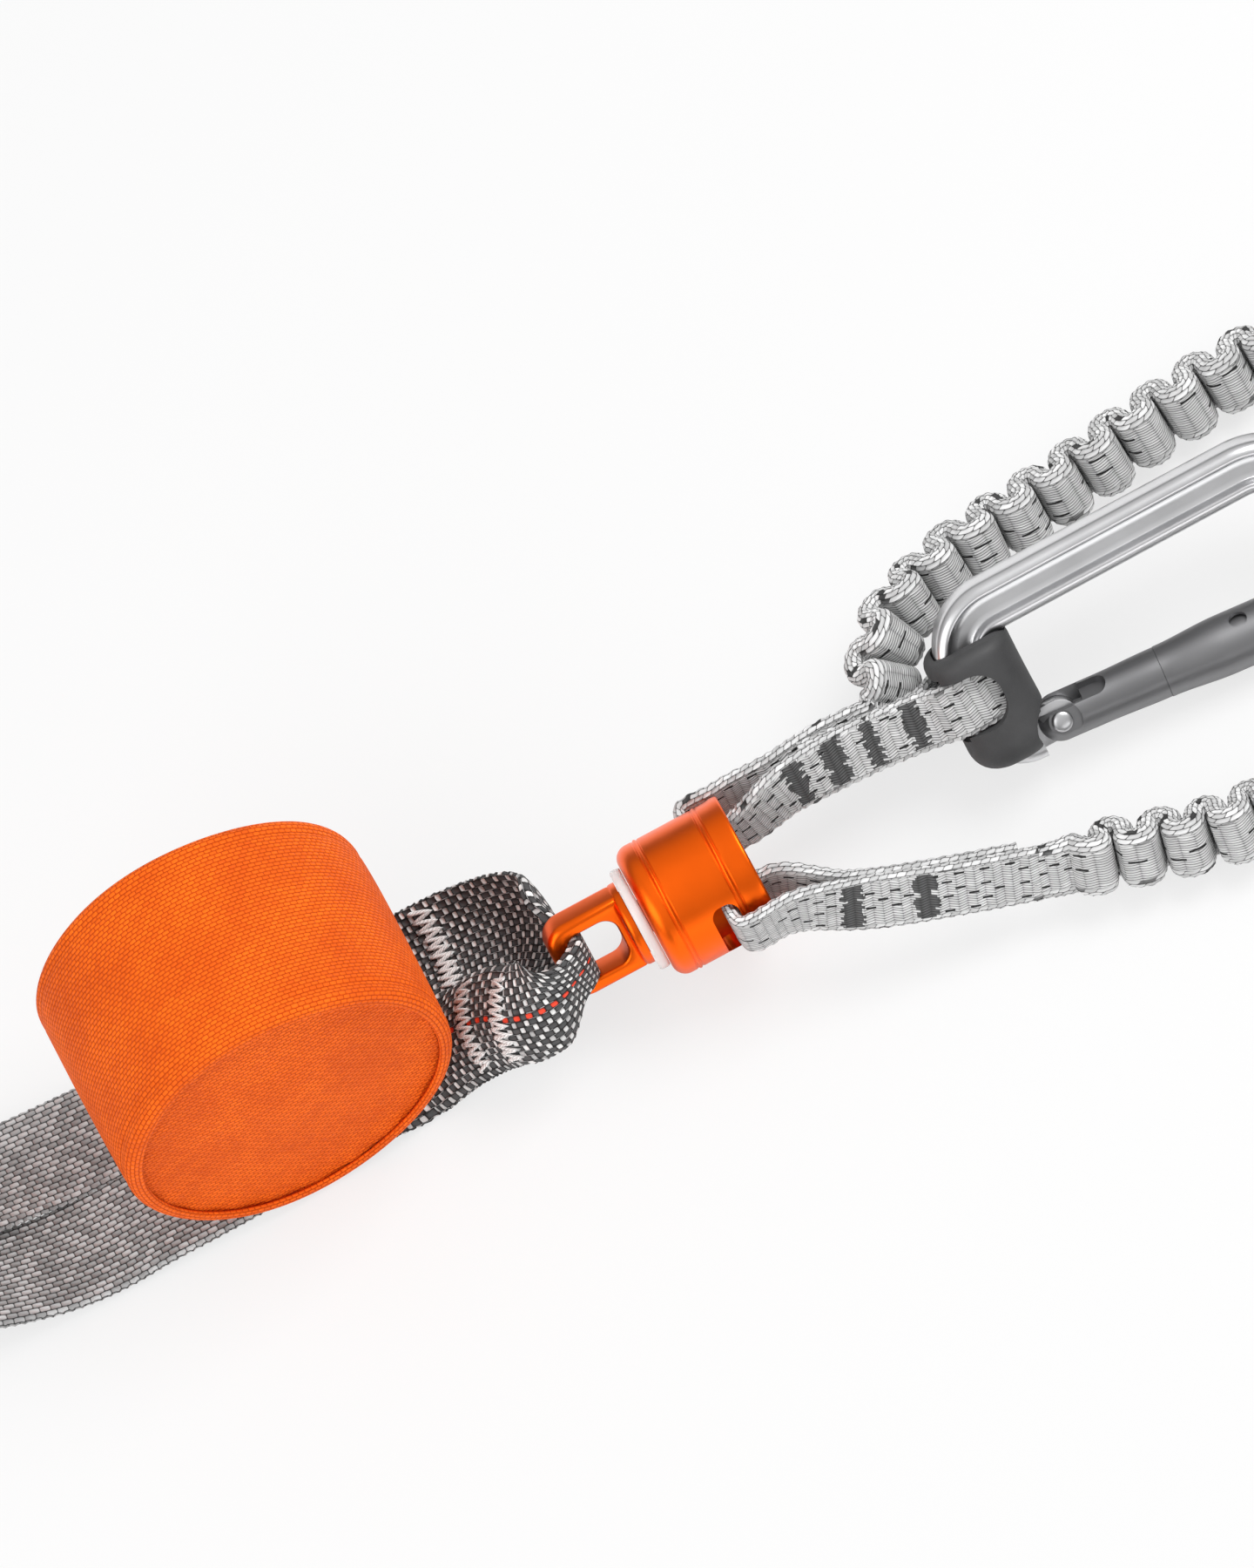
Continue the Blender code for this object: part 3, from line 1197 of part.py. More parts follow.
def make_keeper(prefix, sizes, place):
    """Rubber keeper: a rounded block slipped over bar and webbing, open where each of them passes."""
    strap = 2 * rim_reach + keeper_bar_gap
    bar_x = -sizes["small_end"]
    half = sizes["width"] / 2
    low = sizes["grip"] - arm_width / 2 - keeper_bar_gap
    high = sizes["grip"] + arm_width / 2 + keeper_bar_gap
    deep = sizes["height"] / 2 + strap
    left, right = bar_x - half - keeper_mouth_reach, bar_x + half + strap + keeper_inside_wall
    bottom, top = low - keeper_low_wall, high + keeper_end_wall
    corner = (top - bottom) * keeper_round_share
    outline = []
    for x, y, radius, start in ((right, top, keeper_small_corner, 0), (left, top, corner, 90),
                                (left, bottom, corner, 180), (right, bottom, keeper_small_corner, 270)):
        inner_x = x - radius if x == right else x + radius
        inner_y = y - radius if y == top else y + radius
        outline += arc_points((inner_x, inner_y), radius, start, start + 90, steps=keeper_corner_steps)
    mesh = outline_mesh(prefix + "_keeper", outline, deep + sizes["keeper_wall"])
    bm = bmesh.new()
    bm.from_mesh(mesh)
    rim = [edge for edge in bm.edges if abs(edge.verts[0].co.z - edge.verts[1].co.z) < weld_distance
           and edge.is_manifold and edge.calc_face_angle() > math.radians(80)]
    bmesh.ops.bevel(bm, geom=rim, offset=sizes["keeper_edge"], segments=2, affect="EDGES", profile=0.5)
    bm.to_mesh(mesh)
    bm.free()
    keeper = put(add_piece(prefix + "_keeper", mesh, rubber), place)
    hole = bar_mesh("bar_hole", clip_path(sizes), half + keeper_bar_gap, sizes["height"] / 2 + keeper_bar_gap, 0)
    boolean(keeper, put(add_piece(prefix + "_bar_hole", hole, hidden=True), place))
    window = box_mesh("webbing_window", (left * 2, low, -deep), (right - keeper_inside_wall, high, deep))
    boolean(keeper, put(add_piece(prefix + "_webbing_window", window, hidden=True), place))


make_keeper("rest_carabiner", rest_sizes, rest_clip_place)
for prefix, palm_place in (("upper_connector", upper_palm_place), ("lower_connector", lower_palm_place)):
    clip_place = Matrix.Translation(palm_place)
    make_frame(prefix, palm_sizes, clip_place, (lever_pivot_x, palm_spine))
    make_gate(prefix, palm_sizes, clip_place, silver)
    make_lever(prefix, clip_place)
    make_keeper(prefix, palm_sizes, clip_place)


# Pieces on the swivel turn about its axis, so the body keeps its origin on that axis
def rest_origin_on(piece, point):
    piece.data.transform(Matrix.Translation(-Vector(point)))
    piece.matrix_world = Matrix.Translation(Vector(point))


def own_box(pieces):
    """Lowest and highest corners of finished pieces."""
    bpy.context.view_layer.update()
    graph = bpy.context.evaluated_depsgraph_get()
    corners = []
    for piece in pieces:
        mesh = piece.evaluated_get(graph).data
        places = np.empty(len(mesh.vertices) * 3)
        mesh.vertices.foreach_get("co", places)
        turn = np.array(piece.matrix_world)
        places = places.reshape(-1, 3) @ turn[:3, :3].T + turn[:3, 3]
        corners += [places.min(axis=0), places.max(axis=0)]
    return np.min(corners, axis=0), np.max(corners, axis=0)


for piece_name in ("swivel_body", "swivel_eye"):
    body = bpy.data.objects[piece_name]
    rest_origin_on(body, swivel_centre)
loose_arm_pieces = ("upper_arm_bellows", "lower_arm_bellows", "upper_arm_end_loop", "lower_arm_end_loop")
steady = [piece for piece in parts.objects
          if piece.name not in loose_arm_pieces and "_connector_" not in piece.name]
low, high = own_box(steady)
shift = Matrix.Translation((-(low[0] + high[0]) / 2, -(low[1] + high[1]) / 2, 0))
for piece in list(parts.objects) + list(cutters.objects):
    piece.matrix_world = shift @ piece.matrix_world
print("lowest and highest of the steady pieces", np.round(low, 4), np.round(high, 4))
moved = shift.to_translation()
print("moved by", [round(value, 5) for value in moved])
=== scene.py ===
# %% [markdown]
# # Via ferrata lanyard
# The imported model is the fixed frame. This script adds what the eye sees: cloth, webbing with its weave and
# stitches, turned and anodised metal, moulded rubber, soft studio light and the camera of the photograph.
# Lengths are in metres. UV coordinates are in metres too: U runs along a strap or round a drum, V across it.

# %%
import math

import bmesh
import bpy
import numpy as np
from mathutils import Matrix, Vector


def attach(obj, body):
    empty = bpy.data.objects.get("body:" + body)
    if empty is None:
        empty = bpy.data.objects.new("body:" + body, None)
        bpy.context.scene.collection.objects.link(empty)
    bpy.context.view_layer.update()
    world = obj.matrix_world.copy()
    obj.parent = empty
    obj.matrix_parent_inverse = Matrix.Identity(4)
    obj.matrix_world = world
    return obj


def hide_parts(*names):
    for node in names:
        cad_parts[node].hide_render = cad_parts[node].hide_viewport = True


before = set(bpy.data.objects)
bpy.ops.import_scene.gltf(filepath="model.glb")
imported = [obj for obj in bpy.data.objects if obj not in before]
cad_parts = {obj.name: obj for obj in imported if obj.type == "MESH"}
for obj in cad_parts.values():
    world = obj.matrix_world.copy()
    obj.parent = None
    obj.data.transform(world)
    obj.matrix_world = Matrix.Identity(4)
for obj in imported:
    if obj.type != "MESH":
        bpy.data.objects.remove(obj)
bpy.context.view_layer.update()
shift = np.array([0.038604, -0.003217, 0.0])
rng = np.random.default_rng(7)

# %% [markdown]
# ## Camera
# The photograph is nearly parallel: 5.15 pixels a millimetre, seen from 61 degrees above and rolled by 28.3
# degrees. The middle of the swivel's outer washer is at pixel (733, 1055.5) of 1440 by 1800.

# %%
elevation, roll = math.radians(61.0), math.radians(28.3)
right = Vector((math.cos(roll), -math.sin(roll) * math.sin(elevation), -math.sin(roll) * math.cos(elevation)))
up = Vector((math.sin(roll), math.cos(roll) * math.sin(elevation), math.cos(roll) * math.cos(elevation)))
back = Vector((0, -math.cos(elevation), math.sin(elevation)))
pixels_per_metre = 5150.0
picture_wide, picture_high = 1440, 1800
washer = Vector(shift) + Vector((0, 0, 0.025))
aim = (washer + right * (picture_wide / 2 - 733) / pixels_per_metre
       + up * (1055.5 - picture_high / 2) / pixels_per_metre)
camera_data = bpy.data.cameras.new("camera")
camera_data.type = "ORTHO"
camera_data.ortho_scale = picture_high / pixels_per_metre
camera_data.clip_end = 10
camera = bpy.data.objects.new("camera", camera_data)
facing_camera = Matrix((right, up, back)).transposed().to_4x4()
camera.matrix_world = Matrix.Translation(aim + back * 1.2) @ facing_camera
scene = bpy.context.scene
scene.collection.objects.link(camera)
scene.camera = camera
scene.view_settings.view_transform = "Standard"
print("camera aimed at", [round(value, 4) for value in aim])

# %% [markdown]
# ## Routes
# The same tables as the solids follow: places counted from the outer washer in shares of 0.1 m (along,
# towards the viewer, up) and the lean of the webbing in degrees, where 0 stands on edge and 90 lies flat.

# %%


def runs_of(points):
    """Distance from the first point to each point of a row."""
    return np.concatenate([[0], np.cumsum(np.linalg.norm(np.diff(points, axis=0), axis=1))])


def unit_rows(rows):
    """Rows divided by their lengths."""
    return rows / np.linalg.norm(rows, axis=1)[:, None]


unit = 0.1
upper_bellows_rows = (
    (0.6596, -0.1668, 0.2152, 40.6),
    (0.688, -0.166, 0.212, 42), (0.720, -0.202, 0.214, 40), (0.752, -0.294, 0.220, 37), (0.80, -0.364, 0.212, 35),
    (0.86, -0.412, 0.192, 33), (0.94, -0.452, 0.168, 33), (1.03, -0.486, 0.150, 33), (1.14, -0.507, 0.130, 33),
    (1.30, -0.535, 0.112, 33), (1.50, -0.570, 0.100, 33), (1.76, -0.595, 0.096, 33),
    (2.06, -0.595, 0.096, 33), (2.34, -0.590, 0.096, 33), (2.54, -0.545, 0.096, 33),
    (2.64, -0.440, 0.096, 33), (2.61, -0.310, 0.096, 33), (2.47, -0.235, 0.096, 33),
    (2.31, -0.227, 0.096, 33), (2.15, -0.190, 0.096, 33), (2.04, -0.105, 0.096, 33),
    (1.995, 0.005, 0.096, 33), (2.04, 0.095, 0.098, 36), (2.17, 0.120, 0.102, 45),
)
lower_bellows_rows = (
    (0.8388, 0.3218, 0.1432, 33),
    (1.05, 0.365, 0.105, 33), (1.25, 0.424, 0.098, 33), (1.48, 0.435, 0.096, 33), (1.75, 0.395, 0.096, 33),
    (2.00, 0.362, 0.096, 33), (2.21, 0.385, 0.096, 33), (2.34, 0.500, 0.096, 33), (2.34, 0.650, 0.096, 33),
    (2.20, 0.745, 0.096, 33), (2.00, 0.760, 0.096, 33), (1.82, 0.770, 0.096, 33), (1.67, 0.830, 0.096, 33),
    (1.59, 0.950, 0.096, 33), (1.61, 1.100, 0.096, 33), (1.74, 1.180, 0.096, 33), (1.88, 1.130, 0.097, 34),
    (2.00, 1.040, 0.098, 38), (2.17, 1.000, 0.102, 45),
)


class Route:
    """A Catmull-Rom curve through a table of rows, measured along its length."""

    def __init__(self, rows):
        rows = np.array(rows, float)
        rows[:, :3] *= unit
        knots = np.vstack([2 * rows[0] - rows[1], rows, 2 * rows[-1] - rows[-2]])
        share = np.linspace(0, 1, 24, endpoint=False)[:, None]
        spans = [0.5 * (2 * b + (c - a) * share + (2 * a - 5 * b + 4 * c - d) * share**2
                        + (3 * b - a - 3 * c + d) * share**3)
                 for a, b, c, d in zip(knots, knots[1:], knots[2:], knots[3:])]
        rows = np.vstack(spans + [rows[-1:]])
        self.places = rows[:, :3] * (1, -1, 1) + shift
        self.leans = np.radians(rows[:, 3])
        self.runs = runs_of(self.places)
        self.length = self.runs[-1]

    def frames(self, along):
        """Places, directions across the webbing and out of its face."""
        along = np.asarray(along, float)
        inside = np.clip(along, 0, self.length)
        slopes = np.gradient(self.places, self.runs, axis=0)
        places = np.stack([np.interp(inside, self.runs, self.places[:, k]) for k in range(3)], 1)
        tangents = unit_rows(np.stack([np.interp(inside, self.runs, slopes[:, k]) for k in range(3)], 1))
        places = places + tangents * (along - inside)[:, None]
        leans = np.interp(inside, self.runs, self.leans)
        sideways = unit_rows(np.cross((0, 0, 1), tangents))
        upright = np.cross(tangents, sideways)
        across = upright * np.cos(leans)[:, None] + sideways * np.sin(leans)[:, None]
        return places, across, np.cross(tangents, across)


upper_bellows_route = Route(upper_bellows_rows)
lower_bellows_route = Route(lower_bellows_rows)
print("upper route", round(upper_bellows_route.length, 4), "m, lower route", round(lower_bellows_route.length, 4), "m")

# %% [markdown]
# ## Surfaces from grids of points
# Webbing, thread and cloth are sheets and tubes, so each is one grid: rings of points along a run, computed as
# whole arrays, then joined by quads whose indices are computed in the same way.

# %%


def piece_from(name, verts, faces, uvs, body):
    """A named object at the origin from vertex, face and per-corner UV arrays, riding on a body."""
    mesh = bpy.data.meshes.new(name)
    mesh.from_pydata(np.asarray(verts).tolist(), [], [list(map(int, face)) for face in faces])
    layer = mesh.uv_layers.new(name="UVMap")
    layer.data.foreach_set("uv", np.concatenate([np.asarray(uv, float) for uv in uvs]).ravel())
    mesh.polygons.foreach_set("use_smooth", [True] * len(mesh.polygons))
    obj = bpy.data.objects.new(name, mesh)
    scene.collection.objects.link(obj)
    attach(obj, body)
    return obj


def tube_grid(rings, runs, rounds):
    """Closed rings joined along a run, capped. UV: the run, and the way round. Returns verts, faces, uvs."""
    count, sides = rings.shape[:2]
    i, j = np.meshgrid(np.arange(count - 1), np.arange(sides), indexing="ij")
    k = (j + 1) % sides
    faces = np.stack([i * sides + j, (i + 1) * sides + j, (i + 1) * sides + k, i * sides + k], -1).reshape(-1, 4)
    v = np.append(rounds, rounds[-1] + (rounds[-1] - rounds[-2]))
    uv = np.stack([np.stack([runs[i], v[j]], -1), np.stack([runs[i + 1], v[j]], -1),
                   np.stack([runs[i + 1], v[j + 1]], -1), np.stack([runs[i], v[j + 1]], -1)], 2)
    faces = list(faces) + [np.arange(sides), np.arange(sides)[::-1] + (count - 1) * sides]
    uvs = list(uv.reshape(-1, 4, 2))
    uvs += [np.stack([np.full(sides, runs[0]), rounds], 1), np.stack([np.full(sides, runs[-1]), rounds[::-1]], 1)]
    return rings.reshape(-1, 3), faces, uvs


# %% [markdown]
# ## Straps
# A strap is its section carried along a line: two flat faces with round woven edges. A `Laid` strap keeps its frame,
# so that threads can be sewn on to its faces later.

# %%


def strap_section(width, thickness, steps, edge_steps):
    """Outline of a woven strap: two flat faces and two round edges. Returns points and the way round them."""
    half, low = width / 2 - thickness / 2, thickness / 2
    face = np.linspace(half, -half, steps)
    arc = np.linspace(math.pi / 2, -math.pi / 2, edge_steps + 2)[1:-1]
    top = np.stack([face, np.full(steps, low)], 1)
    left = np.stack([-half - low * np.cos(arc), low * np.sin(arc)], 1)
    points = np.vstack([top, left, -top, -left])
    return points, runs_of(points)


class Laid:
    """A strap as it lies: gives places on its faces from the run, the place across and the height over it."""

    def __init__(self, centres, across, out, runs, half, extra):
        self.data, self.runs, self.half, self.extra = np.hstack([centres, across, out]), runs, half, extra

    def at(self, run, across, lift):
        """place = centre + across x (distance x width share) + out x (height of the face + lift + cup)."""
        row = np.stack([np.interp(run, self.runs, self.data[:, k]) for k in range(9)], -1)
        wide, thick, cup = (np.interp(run, self.runs, self.extra[:, k]) for k in range(3))
        height = lift + np.copysign(self.half * thick, lift) + cup * (across / self.extra[0, 3]) ** 2
        return row[:, :3] + row[:, 3:6] * (across * wide)[:, None] + row[:, 6:] * height[:, None]


def strap(name, centres, across, width, thickness, body, steps, bump, sizes=None, cup=None, edge_steps=3):
    """Webbing along a centre line: place = centre + across u + out w, with (u, w) a point of the section pushed out
    by bump(run, point), scaled to the local width and thickness, and cupped by cup (u / half width)^2."""
    tangents = unit_rows(np.gradient(centres, axis=0))
    across = unit_rows(across - tangents * np.sum(across * tangents, axis=1)[:, None])
    out = np.cross(tangents, across)
    runs = runs_of(centres)
    points, rounds = strap_section(width, thickness, steps, edge_steps)
    lift = bump(runs[:, None], points[None])
    around = np.vstack([points[-1:], points, points[:1]])
    normals = unit_rows((around[2:] - around[:-2])[:, ::-1] * (1, -1))
    normals *= np.sign(np.sum(normals * points, axis=1))[:, None]
    shaped = points[None] + normals[None] * lift[..., None]
    scale = np.ones((len(centres), 2)) if sizes is None else sizes / (width, thickness)
    bend = np.zeros(len(centres)) if cup is None else cup
    shaped = shaped * scale[:, None]
    shaped[..., 1] += bend[:, None] * (points[None, :, 0] / (width / 2)) ** 2
    rings = centres[:, None] + across[:, None] * shaped[..., :1] + out[:, None] * shaped[..., 1:]
    obj = piece_from(name, *tube_grid(rings, runs, rounds), body)
    edge = np.clip((np.abs(points[:, 0]) - (width / 2 - thickness * 0.62)) / (thickness * 0.16), 0, 1)
    obj.data.attributes.new("edge", "FLOAT", "POINT").data.foreach_set("value", np.tile(edge, len(centres)))
    extra = np.column_stack([scale, bend, np.full(len(centres), width / 2)])
    return obj, Laid(centres, across, out, runs, thickness / 2, extra)


# %% [markdown]
# ## Fine lines
# Webbing bends smoothly, and its weave needs points closer than 1 mm, so tables of places are refined by a cubic.

# %%


def smooth_line(centres, across, step):
    """Centres and directions resampled finely by a Hermite cubic through the same points and slopes."""
    runs = runs_of(centres)
    data = np.hstack([centres, across])
    slopes = np.gradient(data, runs, axis=0)
    count = max(2, int(round(runs[-1] / step)) + 1)
    at = np.linspace(0, runs[-1], count)
    span = np.clip(np.searchsorted(runs, at, side="right") - 1, 0, len(runs) - 2)
    size = (runs[span + 1] - runs[span])[:, None]
    share = (at[:, None] - runs[span][:, None]) / size
    a, b = data[span], data[span + 1]
    out = ((2 * share**3 - 3 * share**2 + 1) * a + (share**3 - 2 * share**2 + share) * size * slopes[span]
           + (3 * share**2 - 2 * share**3) * b + (share**3 - share**2) * size * slopes[span + 1])
    return out[:, :3], out[:, 3:]


def arc(centre, radius, start, end, steps=6):
    """Points on an arc in a plane, between two angles in degrees."""
    angles = np.radians(np.linspace(start, end, steps + 1))
    return [(centre[0] + radius * math.cos(a), centre[1] + radius * math.sin(a)) for a in angles]


def eased(share):
    """Smooth step: share^2 (3 - 2 share), held at 0 and 1 outside."""
    share = np.clip(share, 0, 1)
    return share * share * (3 - 2 * share)


def on_route(route, stations):
    """Stations (along, out, side) of a route as centres and directions across."""
    stations = np.array(stations, float)
    places, across, out = route.frames(stations[:, 0])
    return places + out * stations[:, 1:2] + across * stations[:, 2:3], across


# %% [markdown]
# ## The elastic arms: two free straps, gathered into folds
# A real elastic arm is a tubular strap round a rubber core, which draws it into folds, so each arm is one strap
# laid along its route in waves: place = pitch (run - sin(4 pi run) / 4 pi), height = 4 mm sin(2 pi run), which
# gives upright legs and round crests. Away from its ends the strap swells by 1.0 mm in width and 2.2 mm in
# thickness.

# %%
arm_width, arm_thickness, more_width, more_thickness = 0.0136, 0.0028, 0.0010, 0.0022
fold_pitch, fold_depth, flat_end = 0.0112, 0.0040, 0.0090


def fold_centres(route, points_per_fold=20):
    """Centres and directions of the gathered strap, with a short flat piece at both ends."""
    whole = route.length - 2 * flat_end
    folds = round(whole / fold_pitch)
    run = np.arange(folds * points_per_fold + 1) / points_per_fold
    along = whole / folds * (run - np.sin(4 * math.pi * run) / (4 * math.pi)) + flat_end
    ramp = eased(np.minimum(run, folds - run) * 1.5 + 0.25)
    swell = 1 + 0.10 * np.sin(run * 2.1 + 0.7) * np.sin(run * 0.83)
    out = fold_depth * np.sin(2 * math.pi * run) * ramp * swell
    first = [(-0.0026, 0, 0), (flat_end / 2, 0, 0)]
    last = [(route.length - flat_end / 2, 0, 0), (route.length + 0.0008, 0, 0)]
    print(folds, "folds over", round(whole, 4), "m")
    return on_route(route, np.vstack([first, np.stack([along, out, 0 * out], 1), last]))


def frayed(run, point, amount=0.00014):
    """Yarn ends bulge along the woven edges, and the gathered faces are ribbed: |sin(pi run / 2.1 mm)|^0.7."""
    edge = np.exp(-((np.abs(point[..., 0]) - arm_width / 2) / 0.0014) ** 2)
    side = np.sign(point[..., 1] + 1e-9)
    ribs = np.abs(np.sin(run * math.pi / 0.0021 + 0.6 * side + 0.25 * np.sin(point[..., 0] * 700))) ** 0.7
    edges = np.sin(run * 2 * math.pi / 0.0017 + 1.9 * side) + 0.4 * np.sin(run * 2 * math.pi / 0.0043)
    return amount * edge * edges + 0.00022 * (1 - edge) * (ribs - 0.6)


elastic, end_straps = {}, {}
for side, route in (("upper", upper_bellows_route), ("lower", lower_bellows_route)):
    centres, across = smooth_line(*fold_centres(route), 0.0004)
    runs = runs_of(centres)
    swell = eased((np.minimum(runs, runs[-1] - runs) - 0.002) / 0.012)
    sizes = np.stack([arm_width + more_width * swell, arm_thickness + more_thickness * swell], 1)
    obj, _ = strap(side + "_elastic_arm", centres, across, arm_width + more_width, arm_thickness + more_thickness,
                   "arms", steps=14, bump=frayed, sizes=sizes, edge_steps=5)
    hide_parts(side + "_arm_bellows")
    elastic[side] = obj

# %% [markdown]
# ## Materials: writing them as sums
# Every material is procedural, a sum of node values. So a wire can be added, subtracted, multiplied, divided and
# compared like a number, and a cloth then reads as its formula.

# %%


class Wire:
    """The output of a node of a material, used like a number."""

    def __init__(self, shade, socket):
        self.shade, self.socket = shade, socket

    def __add__(self, other):
        return self.shade.math("ADD", self, other)

    def __sub__(self, other):
        return self.shade.math("SUBTRACT", self, other)

    def __rsub__(self, other):
        return self.shade.math("SUBTRACT", other, self)

    def __mul__(self, other):
        return self.shade.math("MULTIPLY", self, other)

    def __truediv__(self, other):
        return self.shade.math("DIVIDE", self, other)

    def __gt__(self, other):
        return self.shade.math("GREATER_THAN", self, other)

    def __lt__(self, other):
        return self.shade.math("LESS_THAN", self, other)

    def __abs__(self):
        return self.shade.math("ABSOLUTE", self)


class Shade:
    """A material whose nodes are written in short calls; every call returns a wire."""

    def __init__(self, name, color, roughness, metallic=0.0):
        self.material = bpy.data.materials.new(name)
        self.material.use_nodes = True
        self.tree = self.material.node_tree
        self.surface = self.tree.nodes["Principled BSDF"]
        for key, value in (("Base Color", (*color, 1)), ("Roughness", roughness), ("Metallic", metallic)):
            self.surface.inputs[key].default_value = value

    def put(self, socket, value):
        if isinstance(value, Wire):
            self.tree.links.new(value.socket, socket)
        else:
            socket.default_value = value

    def node(self, kind, inputs, out=0, **settings):
        made = self.tree.nodes.new(kind)
        for key, value in settings.items():
            setattr(made, key, value)
        for key, value in (inputs.items() if isinstance(inputs, dict) else enumerate(inputs)):
            self.put(made.inputs[key], value)
        return Wire(self, made.outputs[out])

    def math(self, operation, *values):
        return self.node("ShaderNodeMath", values, operation=operation)

    def vector(self, *parts):
        return self.node("ShaderNodeCombineXYZ", parts)

    def uv(self):
        place = self.node("ShaderNodeUVMap", {}, uv_map="UVMap")
        return self.node("ShaderNodeSeparateXYZ", [place]), self.node("ShaderNodeSeparateXYZ", [place], out=1)

    def place(self):
        return self.node("ShaderNodeTexCoord", {}, out="Object")

    def noise(self, vector, scale, detail=3.0):
        return self.node("ShaderNodeTexNoise", {"Vector": vector, "Scale": scale, "Detail": detail, "Roughness": 0.55})

    def random(self, *parts):
        return self.node("ShaderNodeTexWhiteNoise", {"Vector": self.vector(*parts)}, noise_dimensions="3D")

    def steps(self, value, low, high):
        """0 below low, 1 above high, smooth between."""
        return self.node("ShaderNodeMapRange", {"Value": value, "From Min": low, "From Max": high},
                         interpolation_type="SMOOTHSTEP")

    def mix(self, share, a, b):
        """Colour a where the share is 0, colour b where it is 1."""
        a, b = ((*value, 1) if isinstance(value, tuple) else value for value in (a, b))
        return self.node("ShaderNodeMix", {0: share, 6: a, 7: b}, out=2, data_type="RGBA")

    def finish(self, color=None, rough=None, bump=None):
        """Links the colour, the roughness (value, at 0, at 1) and the bump (height, distance, strength)."""
        if color is not None:
            self.put(self.surface.inputs["Base Color"], color)
        if rough is not None:
            value, low, high = rough
            self.put(self.surface.inputs["Roughness"],
                     self.node("ShaderNodeMapRange", {"Value": value, "To Min": low, "To Max": high}))
        if bump is not None:
            height, distance, strength = bump
            normal = self.node("ShaderNodeBump", {"Height": height, "Distance": distance, "Strength": strength})
            self.put(self.surface.inputs["Normal"], normal)
        return self.material

    def floor(self, value):
        return self.math("FLOOR", value)

    def floats(self, u, v, long, wide, shift=0.5):
        """Yarn floats as staggered bricks: row = floor(v / wide), cell = floor(u / long + shift row), and the
        places 0 to 1 within a float along and across."""
        across = v / wide
        row = self.floor(across)
        along = u / long + row * shift
        cell = self.floor(along)
        return row, cell, along - cell, across - row

    def hump(self, share, power=0.5):
        """A rounded hump over 0 to 1: sin(pi share) to a power."""
        return self.math("POWER", self.math("MAXIMUM", self.math("SINE", share * math.pi), 0.0), power)


def grey(value):
    return (value, value, value)


# %% [markdown]
# ## Cloths
# Woven cloth is rows of yarn floats, each a hump, along and across, with its own random tone, and dark gaps between
# them that are painted shade, set where the height is low.
# UV is in metres, so a float's size is a real size: 1.7 by 1.0 mm on the pouch, 2.4 by 1.25 mm on the tie-in loop.

# %%


def weave_cloth(name, low, high, long, wide, bump):
    """Plain weave: height = hump(a)^0.45 hump(b)^0.6; clouds of the darker tone, which is painted shade in the gaps."""
    shade = Shade(name, high, 0.72)
    row, cell, a, b = shade.floats(*shade.uv(), long, wide)
    height = shade.hump(a, 0.45) * shade.hump(b, 0.6)
    body = shade.mix(shade.random(row, cell, 0.0) * 0.35, high, low)
    cloud = shade.noise(shade.place(), 60.0)
    body = shade.mix(shade.steps(cloud, 0.35, 0.7), body, shade.mix(0.35, body, low))
    shade.surface.inputs["Specular IOR Level"].default_value = 0.15
    # Where the height is low, in the gaps between floats, the low tone is painted shade.
    return shade.finish(shade.mix(shade.steps(height, 0.15, 0.62), low, body), (height, 0.86, 0.62),
                        (height, bump, 1.0))


def bead_webbing(name, gap, dull, light, long, wide):
    """Tubular webbing of fat light floats with painted shade in the gaps, streaked along by its fibres."""
    shade = Shade(name, light, 0.6)
    u, v = shade.uv()
    row, cell, a, b = shade.floats(u, v, long, wide)
    height = shade.hump(a, 0.5) * shade.hump(b, 0.7)
    fibre = shade.noise(shade.vector(u, v * 6.0, 0.0), 2500.0)
    # The darker of the two greys is the light grey as it looks in shade: painted shade, spread over floats at random
    # and along the fibres.
    body = shade.mix(shade.steps(shade.random(row, cell, 3.0), 0.1, 1.0), light, dull)
    body = shade.mix(fibre * 0.5, body, dull)
    # The gap colour, where the height is low, is painted shade between the floats.
    return shade.finish(shade.mix(shade.steps(height, 0.10, 0.50), gap, body), (height, 0.8, 0.5),
                        (height, 0.0005, 1.0))


